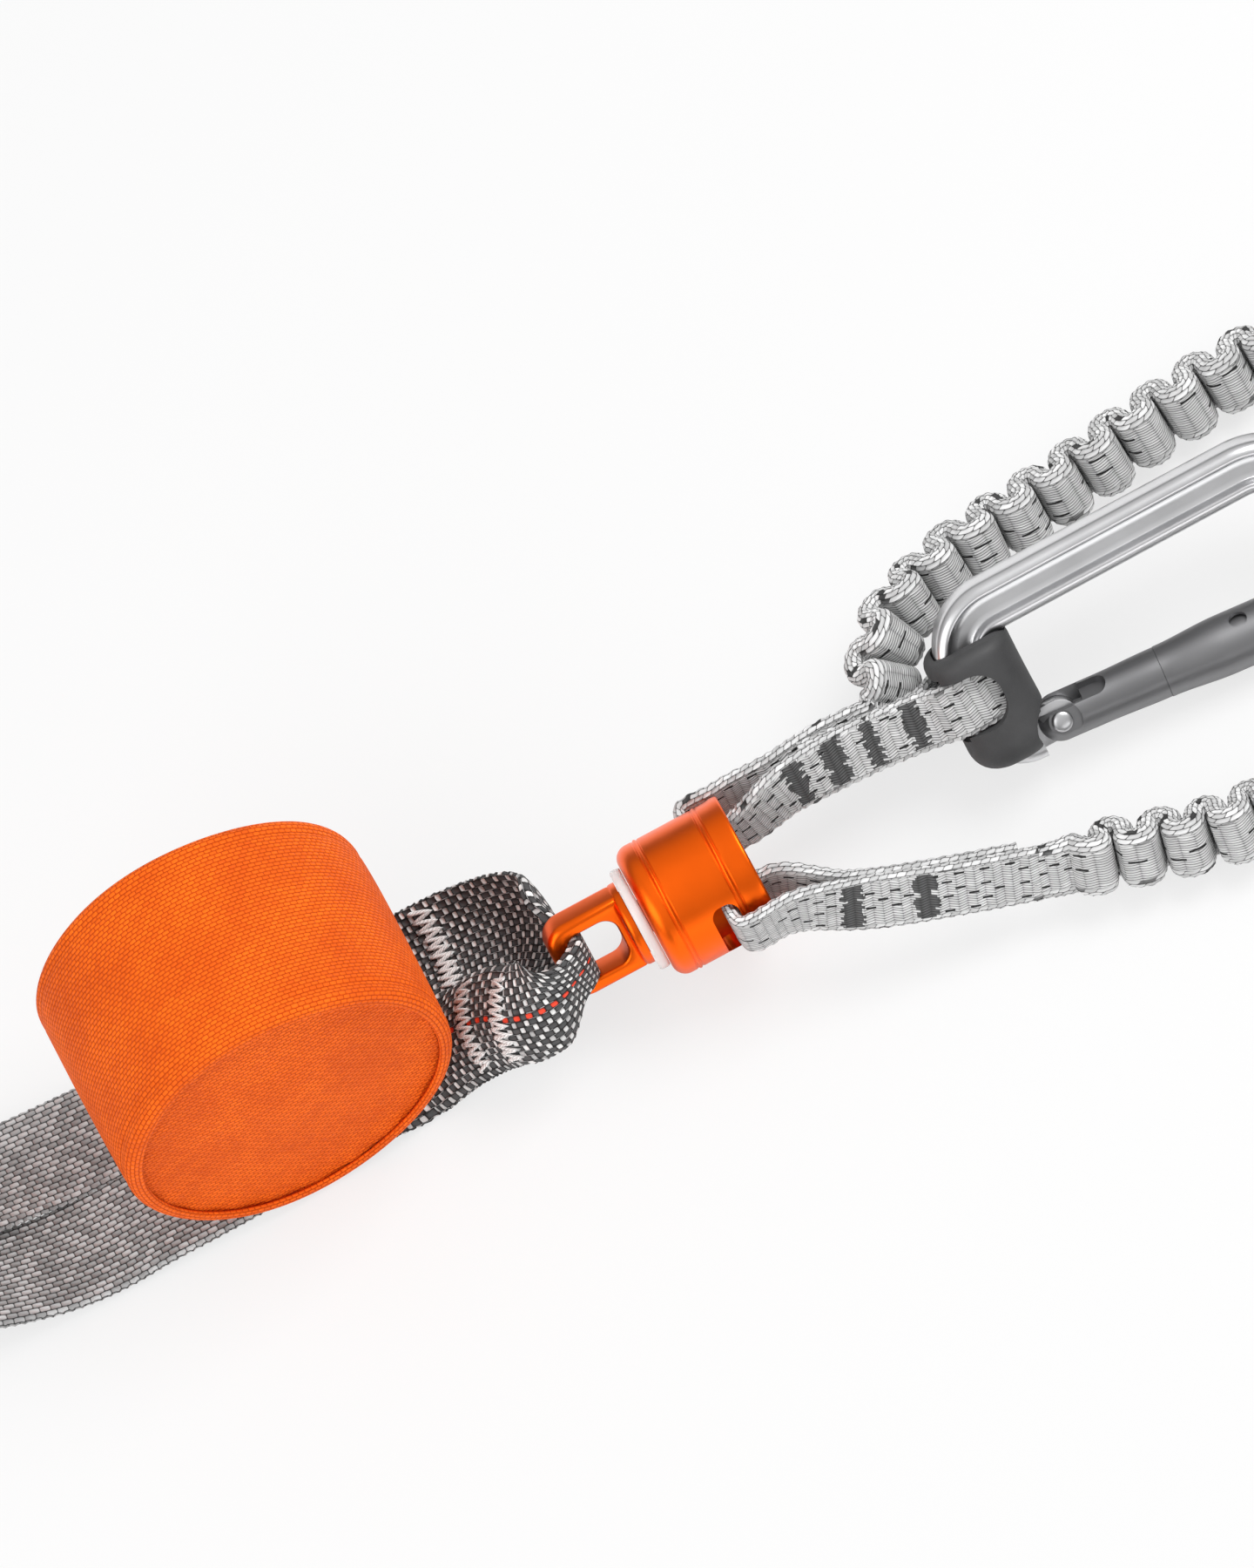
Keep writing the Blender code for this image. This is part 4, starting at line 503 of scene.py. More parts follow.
def loop_cloth(name):
    """Black webbing: each float is black up to a share of 0.64 and a light block after it; row 6 has red dashes."""
    shade = Shade(name, grey(0.03), 0.7)
    u, v = shade.uv()
    row, cell, a, b = shade.floats(u, v, 0.0030, 0.00150)
    red_row = shade.math("COMPARE", row, 6.0, 0.1)
    start = 0.64 - red_row * 0.20
    light = a > start
    black_height = shade.hump(a / 0.64, 0.5) * shade.hump(b, 0.6)
    light_height = shade.hump((a - start) / (1.0 - start), 0.5) * shade.hump(b, 0.8) * 0.8
    height = shade.node("ShaderNodeMix", {0: light, 2: black_height, 3: light_height})
    fibre = shade.noise(shade.vector(u * 5.0, v, 0.0), 3000.0)
    # Black floats are near black in the gaps as painted shade and lighter on their crests as a painted highlight,
    # streaked by fibre noise.
    black = shade.mix(shade.steps(height, 0.25, 0.8), grey(0.003),
                      shade.mix(fibre, (0.020, 0.020, 0.021), (0.085, 0.086, 0.088)))
    # Pale blocks and red dashes darken to near black at their edges, where the height drops: painted shade in the gaps.
    pale = shade.mix(shade.steps(light_height, 0.12, 0.38), grey(0.01),
                     shade.mix(shade.random(row, cell, 5.0), (0.82, 0.82, 0.81), grey(0.40)))
    red = shade.mix(shade.steps(light_height, 0.2, 0.5), (0.05, 0.0, 0.0), (0.75, 0.045, 0.012))
    base = shade.mix(light, black, shade.mix(red_row, pale, red))
    seam = abs(b - 0.5) > 0.44
    threads = shade.steps(shade.random(shade.floor(u / 0.0011), row, 1.0), 0.55, 0.6)
    return shade.finish(shade.mix(seam * threads, base, grey(0.45)), (height, 0.85, 0.6), (height, 0.00055, 1.0))


def elastic_cloth(name, patches=(), fold=False):
    """Elastic arm webbing. Faces: fine ribs that zigzag, with short black dashes. Edges: fat braided floats with
    dark flecks. Patches are the ragged black blocks of stitching. The strap's edge attribute mixes the two."""
    shade = Shade(name, grey(0.6), 0.7)
    u, v = shade.uv()
    edge = shade.node("ShaderNodeAttribute", {}, out="Fac", attribute_name="edge")
    zigzag = abs(shade.math("FRACT", u / 0.0042) - 0.5)
    row, cell, a, b = shade.floats(u, v + zigzag * 0.0012, 0.0021, 0.00062, 0.0)
    rib = (shade.hump(a, 0.7) * 0.5 + 0.5) * shade.hump(b, 0.6)
    dash_row, dash_cell, dash_a, dash_b = shade.floats(u, v, 0.0058, 0.0018)
    dash = (abs(dash_a - 0.5) < 0.20) * (abs(dash_b - 0.5) < 0.14)
    dash = dash * (shade.random(dash_row, dash_cell, 2.0) > (0.66 if fold else 0.42))
    face = shade.mix(shade.random(row, cell, 1.0) * 0.60, grey(0.66), grey(0.30))
    face = shade.mix(shade.steps(shade.noise(shade.place(), 260.0), 0.3, 0.75), face, grey(0.50))
    # Between the ribs the face goes dark grey: painted shade in the grooves.
    face = shade.mix(shade.steps(rib, 0.10, 0.72), grey(0.050), face)
    face = shade.mix(dash, face, grey(0.006))
    braid_row, braid_cell, braid_a, braid_b = shade.floats(u + v * 0.6, v, 0.0021, 0.00115, 0.43)
    braid = shade.hump(braid_a, 0.5) * shade.hump(braid_b, 0.6)
    tone = shade.random(braid_row, braid_cell, 4.0)
    light = shade.mix(shade.steps(tone, 0.1, 0.9), grey(0.72), grey(0.48))
    light = shade.mix(tone > 0.95, light, grey(0.03))
    # Between the braided floats the ribbon goes near black: painted shade in the gaps.
    ribbon = shade.mix(shade.steps(braid, 0.12, 0.42), grey(0.030), light)
    color = shade.mix(edge, face, ribbon)
    height = shade.node("ShaderNodeMix", {0: edge, 2: rib * 0.55 - dash * 0.3, 3: braid})
    for middle, half, low, high in patches:
        reach = (shade.random(row, middle * 1000, 0.0) - 0.5) * 0.0020 + half
        inside = (abs(u - middle) < reach) * ((v > low) * (v < high))
        # Stitched patches are near black in the rib grooves as painted shade and lighter on the rib crests as a painted
        # highlight.
        color = shade.mix(inside, color, shade.mix(rib, grey(0.006), (0.085, 0.085, 0.086)))
    return shade.finish(color, (height, 0.85, 0.6), (height, 0.00042, 1.0))


def thread_of(name, color):
    """Sewing thread: two plies twisted along the run, ply = sin(pi fract(u / 0.9 mm + v / 0.6 mm))^0.6."""
    shade = Shade(name, color, 0.7)
    u, v = shade.uv()
    ply = shade.hump(shade.math("FRACT", u / 0.0009 + v / 0.0006), 0.6)
    # Painted shade in the groove between the plies: the thread's colour at 0.35.
    dark = tuple(c * 0.35 for c in color)
    return shade.finish(shade.mix(shade.steps(ply, 0.1, 0.7), dark, color), (ply, 0.85, 0.6), (ply, 0.0001, 1.0))


# Orange cloth: its low tone is painted shade in the gaps between floats, and also tints random clouds.
orange_cloth = weave_cloth("orange_cloth", (0.55, 0.055, 0.001), (0.94, 0.150, 0.005), 0.00170, 0.00100, 0.0003)
# Tie-in webbing: gaps of painted shade at 0.020; floats go from the light grey 0.62 down to its painted-shade copy
# 0.30.
tie_in_cloth = bead_webbing("tie_in_webbing_cloth", grey(0.020), grey(0.30), grey(0.62), 0.0024, 0.00125)
swivel_loop_cloth = loop_cloth("swivel_loop_cloth")
light_thread = thread_of("light_thread", (0.82, 0.81, 0.80))

# %% [markdown]
# ## Metals, rubber and plastic
# The metals are tumbled and anodised, the rubber and the plastics moulded. No real surface is even, so each gets a
# cloudy change of tone and of roughness, and a fine grain.

# %%


def metal(name, color, roughness, metallic=1.0):
    """Cloudy metal: tone 0.92 to 1, roughness from -0.06 to +0.08 round its value, and a fine grain."""
    shade = Shade(name, color, roughness, metallic)
    cloud = shade.noise(shade.place(), 45.0)
    fine = shade.noise(shade.place(), 2200.0, detail=2.0)
    return shade.finish(shade.mix(shade.steps(cloud, 0.3, 0.7), tuple(c * 0.92 for c in color), color),
                        (cloud + fine * 0.5, roughness - 0.06, roughness + 0.08), (fine, 0.00003, 0.2))


def rubber_of(name, color):
    """Moulded rubber or plastic: dull, a little cloudy, with a fine pebbled skin."""
    shade = Shade(name, color, 0.62)
    cloud, fine = shade.noise(shade.place(), 90.0), shade.noise(shade.place(), 3000.0, detail=2.0)
    return shade.finish(shade.mix(shade.steps(cloud, 0.3, 0.7), color, tuple(c * 1.35 + 0.002 for c in color)),
                        (fine, 0.52, 0.74), (fine, 0.00004, 1.0))


def clear_plastic(name):
    """Milky plastic: some light passes through, some scatters inside."""
    shade = Shade(name, (0.93, 0.92, 0.91), 0.16)
    for key, value in (("Transmission Weight", 0.30), ("IOR", 1.42), ("Subsurface Weight", 0.3),
                       ("Subsurface Radius", (0.002, 0.001, 0.001))):
        shade.surface.inputs[key].default_value = value
    cloud = shade.noise(shade.place(), 90.0)
    return shade.finish(shade.mix(cloud, (0.95, 0.90, 0.89), (0.90, 0.82, 0.80)), (cloud, 0.20, 0.30))


orange_metal = metal("orange_anodised", (0.90, 0.120, 0.006), 0.30)
silver_metal = metal("satin_silver", (0.62, 0.62, 0.63), 0.27)
dark_metal = metal("dark_grey_anodised", (0.20, 0.20, 0.205), 0.36, metallic=0.9)
steel_metal = metal("rivet_steel", (0.55, 0.55, 0.56), 0.28)
spring_metal = metal("spring_wire", (0.42, 0.42, 0.43), 0.32)
nut_metal = metal("plated_nut", (0.50, 0.48, 0.44), 0.35)
black_rubber = rubber_of("black_rubber", (0.030, 0.030, 0.031))
lever_plastic = rubber_of("lever_plastic", (0.045, 0.045, 0.047))
pusher_plastic = rubber_of("pusher_plastic", grey(0.10))
washer_plastic = clear_plastic("translucent_washer")
print(len(bpy.data.materials), "materials so far")

# %% [markdown]
# ## Centre lines of the sewn webbing
# Rows of x, y, z in millimetres, then the direction across the strap: the same lines as the solids follow, so that
# the woven straps lie where the solids are. The lower arm's end loop is the upper one, 88 mm further along -Y.

# %%
tie_in_loop_webbing_rows = (
    (-64.6, 25.63, 3.5, 0, -1, 0), (-76.03, 25.64, 3.4, -0.009, -1, 0), (-87.45, 25.8, 3.54, -0.018, -1, 0),
    (-98.9, 26.04, 4.09, -0.025, -1, -0.019), (-110.19, 26.25, 5.49, -0.018, -1, 0.025),
    (-121.44, 25.61, 7.88, 0.001, -0.994, 0.11), (-132.77, 24.41, 10.27, 0.026, -0.967, 0.252),
    (-144.04, 23.32, 12.55, 0.077, -0.877, 0.474), (-155.47, 22.94, 14.95, 0.097, -0.693, 0.714),
    (-167.48, 23.52, 15.47, -0.063, -0.401, 0.914), (-178.87, 24.53, 12.64, -0.07, -0.04, 0.997),
    (-190.39, 25.43, 12.04, -0.001, 0.045, 0.999), (-201.93, 26.06, 12.34, 0.007, 0.02, 1),
    (-213.47, 26.28, 12.6, 0.001, 0, 1), (-216.31, 25.91, 12.6, 0.001, 0, 1), (-218.97, 24.81, 12.61, 0.001, 0, 1),
    (-221.24, 23.06, 12.61, 0.001, 0, 1), (-222.99, 20.78, 12.61, 0.001, 0, 1), (-224.09, 18.13, 12.61, 0.001, 0, 1),
    (-224.47, 15.28, 12.61, 0.001, 0, 1), (-224.09, 12.44, 12.61, 0.001, 0, 1), (-222.99, 9.78, 12.61, 0.001, 0, 1),
    (-221.24, 7.5, 12.61, 0.001, 0, 1), (-218.97, 5.76, 12.61, 0.001, 0, 1), (-216.31, 4.66, 12.6, 0.001, 0, 1),
    (-213.47, 4.28, 12.6, 0.001, 0, 1), (-201.93, 4.51, 12.77, 0.007, 0.02, 1),
    (-190.39, 5.13, 12.96, -0.001, 0.045, 0.999), (-178.84, 6.04, 12.81, -0.07, -0.04, 0.997),
    (-167.31, 7.15, 12.61, -0.063, -0.401, 0.914), (-156.34, 7.41, 11.69, 0.097, -0.693, 0.714),
    (-145.12, 6.44, 9.7, 0.077, -0.877, 0.474), (-133.81, 4.75, 7.29, 0.026, -0.967, 0.252),
    (-122.53, 3.04, 5.06, 0.001, -0.994, 0.11), (-111.15, 1.9, 2.99, -0.018, -1, 0.025),
    (-99.51, 1.58, 2.21, -0.025, -1, -0.019), (-87.9, 1.3, 3.24, -0.018, -1, 0), (-76.24, 1.14, 3.4, -0.009, -1, 0),
    (-64.59, 1.13, 3.5, 0, -1, 0),
)
swivel_loop_webbing_rows = (
    (-34.27, 1.23, 3.5, -0.002, 1, 0), (-29.65, 1.28, 3.52, 0.001, 1, 0.021),
    (-25.31, 1.69, 4.19, 0.018, 0.999, 0.052), (-22.12, 2.64, 5.53, 0.122, 0.988, 0.089),
    (-18.51, 3.53, 7.6, 0.181, 0.975, 0.129), (-14.69, 4.35, 10.12, 0.215, 0.962, 0.171),
    (-10.92, 4.87, 12.84, 0.246, 0.942, 0.23), (-7.14, 4.76, 15.68, 0.243, 0.921, 0.304),
    (-3.63, 3.99, 18.5, 0.221, 0.897, 0.382), (-0.61, 2.6, 21.06, 0.196, 0.868, 0.456),
    (1.5, 0.8, 23.2, 0.206, 0.833, 0.514), (4.18, -2.67, 25.47, 0.077, 0.788, 0.611),
    (20.06, -9.11, 28.4, 0.005, 0.5, 0.866), (20.99, -8.99, 28.33, 0, 0.5, 0.866),
    (21.95, -8.64, 28.13, 0, 0.5, 0.866), (22.78, -8.09, 27.81, 0, 0.5, 0.866), (23.42, -7.37, 27.4, 0, 0.5, 0.866),
    (23.82, -6.54, 26.92, 0, 0.5, 0.866), (23.95, -5.64, 26.4, 0, 0.5, 0.866), (23.95, -0.79, 23.6, 0, 0.5, 0.866),
    (23.82, 0.1, 23.08, 0, 0.5, 0.866), (23.42, 0.94, 22.6, 0, 0.5, 0.866), (22.78, 1.66, 22.19, 0, 0.5, 0.866),
    (21.95, 2.21, 21.87, 0, 0.5, 0.866), (20.98, 2.55, 21.67, 0, 0.5, 0.866), (19.84, 2.67, 21.61, 0.005, 0.5, 0.866),
    (14.72, 1.93, 18.21, 0.077, 0.788, 0.611), (11.81, 3.39, 14.86, 0.206, 0.833, 0.514),
    (7.62, 6.08, 11.8, 0.196, 0.868, 0.456), (3.34, 8.5, 9.96, 0.221, 0.897, 0.382),
    (-0.77, 11.23, 8.71, 0.243, 0.921, 0.304), (-4.85, 14.31, 7.65, 0.246, 0.942, 0.23),
    (-9.19, 17.58, 6.65, 0.215, 0.962, 0.171), (-13.75, 20.64, 5.72, 0.181, 0.975, 0.129),
    (-18.8, 23.29, 4.8, 0.122, 0.988, 0.089), (-24.69, 24.94, 4.11, 0.018, 0.999, 0.052),
    (-29.61, 25.57, 3.69, 0.001, 1, 0.021), (-34.32, 25.53, 3.5, -0.002, 1, 0),
)
upper_arm_webbing_rows = (
    (87.4, 10.56, 24.9, -0.04, 0.536, 0.843), (116.6, 9.25, 21.96, 0.095, 0.701, 0.707),
    (117.95, 9.68, 21.39, 0.055, 0.706, 0.706), (119.29, 10.85, 20.14, 0.025, 0.708, 0.706),
    (120.62, 12.27, 18.68, 0.005, 0.709, 0.705), (121.96, 13.48, 17.47, -0.009, 0.709, 0.705),
    (123.29, 14.01, 16.98, -0.017, 0.708, 0.706), (133.1, 14.09, 17.04, 0, 0.707, 0.707),
    (134.6, 13.88, 17.25, 0, 0.707, 0.707), (135.86, 13.28, 17.85, 0, 0.707, 0.707),
    (136.71, 12.38, 18.75, 0, 0.707, 0.707), (137, 11.33, 19.8, 0, 0.707, 0.707), (137, 7.09, 24.05, 0, 0.707, 0.707),
    (136.71, 6.03, 25.1, 0, 0.707, 0.707), (135.86, 5.14, 26, 0, 0.707, 0.707), (134.6, 4.54, 26.59, 0, 0.707, 0.707),
    (133.1, 4.33, 26.8, 0, 0.707, 0.707), (123.32, 4.27, 26.75, -0.017, 0.708, 0.706),
    (121.97, 4.53, 26.47, -0.009, 0.709, 0.705), (120.62, 5.17, 25.82, 0.005, 0.709, 0.705),
    (119.27, 5.96, 25.05, 0.025, 0.708, 0.706), (117.92, 6.64, 24.43, 0.055, 0.706, 0.706),
    (116.57, 6.98, 24.22, 0.095, 0.701, 0.707), (84.99, 7.51, 26.64, -0.044, 0.52, 0.853),
    (81.95, 7.38, 26.63, -0.037, 0.454, 0.89), (78.93, 6.97, 26.23, -0.03, 0.385, 0.923),
    (75.93, 6.41, 25.63, -0.023, 0.312, 0.95), (72.93, 5.85, 24.98, -0.015, 0.237, 0.971),
    (69.91, 5.41, 24.47, -0.007, 0.162, 0.987), (66.85, 5.24, 24.26, 0, 0.087, 0.996),
    (59.45, 5.24, 24.26, 0, 0.087, 0.996), (58.6, 5.46, 24.24, 0, 0.087, 0.996),
    (57.98, 6.08, 24.19, 0, 0.087, 0.996), (57.75, 6.93, 24.11, 0, 0.087, 0.996),
    (57.75, 12.72, 23.61, 0, 0.087, 0.996), (57.98, 13.57, 23.53, 0, 0.087, 0.996),
    (58.6, 14.19, 23.48, 0, 0.087, 0.996), (59.45, 14.42, 23.46, 0, 0.087, 0.996),
    (66.85, 14.42, 23.46, 0, 0.087, 0.996), (69.76, 14.26, 23.47, -0.007, 0.162, 0.987),
    (72.65, 13.9, 23.48, -0.015, 0.237, 0.971), (75.55, 13.45, 23.49, -0.023, 0.312, 0.95),
    (78.44, 13.05, 23.47, -0.03, 0.385, 0.923), (81.33, 12.83, 23.41, -0.037, 0.454, 0.89),
    (84.21, 12.92, 23.31, -0.044, 0.52, 0.853), (93, 13.79, 22.88, -0.016, 0.571, 0.821),
    (101.95, 13.85, 22.01, 0.174, 0.614, 0.77),
)
lower_arm_webbing_rows = (
    (118.72, -31.73, 13.6, 0.316, 0.484, 0.816), (101.61, -28.07, 18.13, 0.321, 0.486, 0.813),
    (84.89, -23.04, 21.76, 0.311, 0.471, 0.826), (81.71, -21.49, 22.57, 0.264, 0.415, 0.871),
    (78.81, -19.19, 23.45, 0.214, 0.354, 0.911), (76.04, -16.59, 24.3, 0.161, 0.289, 0.944),
    (73.24, -14.17, 25.03, 0.107, 0.222, 0.969), (70.23, -12.37, 25.55, 0.053, 0.154, 0.987),
    (66.85, -11.67, 25.74, 0, 0.087, 0.996), (59.45, -11.67, 25.74, 0, 0.087, 0.996),
    (58.6, -11.9, 25.76, 0, 0.087, 0.996), (57.98, -12.52, 25.81, 0, 0.087, 0.996),
    (57.75, -13.37, 25.89, 0, 0.087, 0.996), (57.75, -19.16, 26.39, 0, 0.087, 0.996),
    (57.98, -20, 26.47, 0, 0.087, 0.996), (58.6, -20.62, 26.52, 0, 0.087, 0.996),
    (59.45, -20.85, 26.54, 0, 0.087, 0.996), (66.85, -20.85, 26.54, 0, 0.087, 0.996),
    (69.87, -21.09, 26.4, 0.053, 0.154, 0.987), (72.82, -21.73, 26.03, 0.107, 0.222, 0.969),
    (75.72, -22.64, 25.48, 0.161, 0.289, 0.944), (78.59, -23.68, 24.83, 0.214, 0.354, 0.911),
    (81.45, -24.74, 24.14, 0.264, 0.415, 0.871), (84.31, -25.68, 23.48, 0.311, 0.471, 0.826),
    (103.46, -31.22, 19.29, 0.321, 0.489, 0.811), (122.48, -35.4, 14.32, 0.315, 0.484, 0.816),
)
upper_arm_end_loop_rows = (
    (256.2, -15.25, 10.25, -0.018, 0.728, 0.686), (260.01, -15.86, 11.21, -0.001, 0.84, 0.543),
    (264.43, -16.22, 12.37, 0.017, 0.931, 0.365), (276.31, -16.22, 13.39, 0.018, 1, 0.003),
    (278.93, -16.21, 14.05, 0.007, 1, -0.017), (281.55, -16.17, 15.52, 0.001, 1, -0.023),
    (284.17, -16.13, 17.25, -0.002, 1, -0.022), (286.79, -16.12, 18.69, -0.004, 1, -0.018),
    (289.4, -16.15, 19.28, -0.004, 1, -0.011), (299.65, -16.22, 19.25, 0, 1, 0), (301.15, -16.22, 18.95, 0, 1, 0),
    (302.41, -16.22, 18.11, 0, 1, 0), (303.26, -16.22, 16.84, 0, 1, 0), (303.55, -16.22, 15.35, 0, 1, 0),
    (303.55, -16.22, 8.25, 0, 1, 0), (303.26, -16.22, 6.76, 0, 1, 0), (302.41, -16.22, 5.49, 0, 1, 0),
    (301.15, -16.22, 4.65, 0, 1, 0), (299.65, -16.22, 4.35, 0, 1, 0), (289.31, -16.32, 4.38, -0.004, 1, -0.011),
    (286.72, -16.37, 5, -0.004, 1, -0.018), (284.14, -16.37, 6.47, -0.002, 1, -0.022),
    (281.56, -16.34, 8.2, 0.001, 1, -0.023), (278.98, -16.28, 9.63, 0.007, 1, -0.017),
    (276.4, -16.21, 10.19, 0.018, 1, 0.003), (267.52, -15.37, 9.57, 0.031, 0.965, 0.261),
)
lower_arm_end_loop_rows = [(x, y - 88, *rest) for x, y, *rest in upper_arm_end_loop_rows]
print("webbing rows:", len(tie_in_loop_webbing_rows), len(swivel_loop_webbing_rows),
      len(upper_arm_webbing_rows), len(lower_arm_webbing_rows), len(upper_arm_end_loop_rows))


def table_line(rows, step):
    """A table's rows in metres, resampled finely: centres and directions across."""
    rows = np.array(rows, float)
    return smooth_line(rows[:, :3] / 1000, rows[:, 3:], step)


def soft_edge(amount, pitch, reach=0.0009):
    """Yarns bulge where they turn round the woven edges: amount exp(-(distance / reach)^2) sin(2 pi run / pitch)."""
    def bump(run, point):
        edge = np.exp(-((np.abs(point[..., 0]) - np.abs(point[..., 0]).max()) / reach) ** 2)
        return amount * edge * np.sin(run * 2 * math.pi / pitch + 2 * np.sign(point[..., 0]))
    return bump


def dress(obj, node, material):
    """The piece stands for a node of the frame and gets its one material."""
    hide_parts(node)
    paint(obj, material)
    print(obj.name, "for", node, len(obj.data.vertices), "points")


def paint(obj, material):
    obj.data.materials.clear()
    obj.data.materials.append(material)


# %% [markdown]
# ## Tie-in loop
# Grey tubular webbing leaves the pouch as two legs and ends in the loop that is hitched to the harness. It is one
# strap lofted along its line. The photograph shows it 10% wider than the solid, so where it stands on edge its
# centre line is lifted by 5% of the width, and its lower edge stays on the floor.

# %%
tie_in_width, tie_in_thickness, wider = 0.0235, 0.0026, 1.10
centres, across = table_line(tie_in_loop_webbing_rows, 0.0007)
sizes = np.tile((tie_in_width * wider, tie_in_thickness), (len(centres), 1))
centres[:, 2] += np.abs(across[:, 2]) * 0.05 * tie_in_width
tie_in, _ = strap("tie_in_webbing", centres, across, tie_in_width, tie_in_thickness, "absorber", steps=26,
                  bump=soft_edge(0.00022, 0.0021), sizes=sizes)
dress(tie_in, "tie_in_loop_webbing", tie_in_cloth)

# %% [markdown]
# ## Swivel loop
# Black webbing comes out of the pouch, goes through the lug's slot and back. The lug pinches it narrow and thick.
# Away from the lug its two legs open, sag and cup. So the solid's line is moved by two tables of rows (distance
# from the pinch, then x, y, z), in millimetres, smoothed by a running mean of 17 points. The width and the cup,
# height = cup (distance from the middle / half width)^2, grow with an eased share of that distance.

# %%
centres, across = table_line(swivel_loop_webbing_rows, 0.0005)
runs = runs_of(centres)
pinch = runs[np.linalg.norm(centres - centres[np.argmax(centres[:, 0])], axis=1).argmin()]
apart = (np.abs(runs - pinch) - 0.009) * 1000
sag_far = ((0, 0, 0, 0), (2.5, 3.0, 2.0, 0), (6, 8.0, 7.0, 0), (11, 8.0, 11.5, 0), (17, 6.5, 12.8, 0),
           (22, 6.4, 12.0, 0), (28, 5.6, 10.2, 0), (34, 4.4, 7.5, 0), (40, 2.5, 4.5, 0), (47, 1.0, 1.5, 0),
           (54, 0, 0, 0))
sag_near = ((0, 0, 0, 0), (3, 0.8, -2.5, -0.5), (8, 0.6, -6.8, 0), (17, -1.0, -8.6, 0), (22, -2.0, -8.6, 0),
            (30, -2.0, -7.6, 0), (39, -1.5, -5.5, 0), (48, 0, -2.5, 0), (56, 0, 0, 0))
mean_of, loop_width, loop_thickness, pinched_width, pinched_thickness = 17, 0.0235, 0.0024, 0.0112, 0.0034
for sag, chosen in ((sag_far, runs > pinch), (sag_near, runs <= pinch)):
    sag = np.array(sag, float)
    move = [np.pad(np.interp(apart, sag[:, 0], sag[:, k]) / 1000, mean_of // 2, mode="edge") for k in (1, 2, 3)]
    soft = np.array([np.convolve(column, np.ones(mean_of) / mean_of, mode="valid") for column in move]).T
    centres = centres + soft * chosen[:, None]
full = eased((apart - 0.5) / 9.5)
sizes = np.stack([pinched_width + (loop_width - pinched_width) * full,
                  pinched_thickness + (loop_thickness - pinched_thickness) * full], 1)
inward = np.cross(np.gradient(centres, axis=0), across)
inward = -np.sign(np.sum(inward * (centres - centres.mean(axis=0))))
cup = inward * 0.0052 * eased(apart / 10) * eased(np.minimum(runs, runs[-1] - runs) / 0.016)
loop, loop_faces = strap("swivel_loop", centres, across, loop_width, loop_thickness, "absorber", steps=30,
                         bump=soft_edge(0.00018, 0.0016), sizes=sizes, cup=cup)
dress(loop, "swivel_loop_webbing", swivel_loop_cloth)

# %% [markdown]
# ## Sewn parts of the arms
# Each arm begins as a flat strap that goes through the bell's window and is sewn to itself, and ends in a loop
# round its connector. They are straps too, with the yarns' bulges along both edges. The black blocks of
# stitching are drawn by the cloth: rows of (middle along the run, half length, and where it starts and stops
# round the strap).

# %%
stitched = {
    "upper_arm": [(middle, half, 0.0152, 0.0262) for middle, half in
                  ((0.1179, 0.0019), (0.1084, 0.0022), (0.0992, 0.0019), (0.0884, 0.0020))],
    "lower_arm": [(0.1004, 0.0020, 0.0, 0.0108), (0.1169, 0.0022, 0.0, 0.0108)],
}


def sewn_strap(name, rows):
    centres, across = table_line(rows, 0.0005)
    made, _ = strap(name, centres, across, arm_width, arm_thickness, "arms", 16, soft_edge(0.00018, 0.0028))
    return made


for name, rows in (("upper_arm", upper_arm_webbing_rows), ("lower_arm", lower_arm_webbing_rows)):
    dress(sewn_strap(name + "_strap", rows), name + "_webbing", elastic_cloth(name + "_cloth", stitched[name]))
end_cloth = elastic_cloth("end_loop_cloth")
for side, rows in (("upper", upper_arm_end_loop_rows), ("lower", lower_arm_end_loop_rows)):
    end_straps[side] = sewn_strap(side + "_end_strap", rows)
    dress(end_straps[side], side + "_arm_end_loop", end_cloth)
folded_cloth = elastic_cloth("folded_elastic_cloth", fold=True)
for obj in elastic.values():
    paint(obj, folded_cloth)

# %% [markdown]
# ## Bartacks
# On the real loop each bar is one zigzag thread across the webbing: the needle swings along the strap while it
# steps across. The stitches are laid one by one, each a little uneven, and the thread runs over them in a low arch,
# height = rise sqrt(sin(pi share)), so that it dips into its holes. Each bar is found by its place in the photograph.

# %%


def tube_of(name, points, radius, body, sides=6):
    """A round thread along points: ring = point + radius (cos a side + sin a other). UV in metres."""
    tangents = unit_rows(np.gradient(points, axis=0))
    side = unit_rows(np.cross(tangents, (0.31, 0.22, 0.93)))
    angles = np.arange(sides) * 2 * math.pi / sides
    rings = (points[:, None] + radius * np.cos(angles)[None, :, None] * side[:, None]
             + radius * np.sin(angles)[None, :, None] * np.cross(tangents, side)[:, None])
    return piece_from(name, *tube_grid(rings, runs_of(points), angles * radius), body)


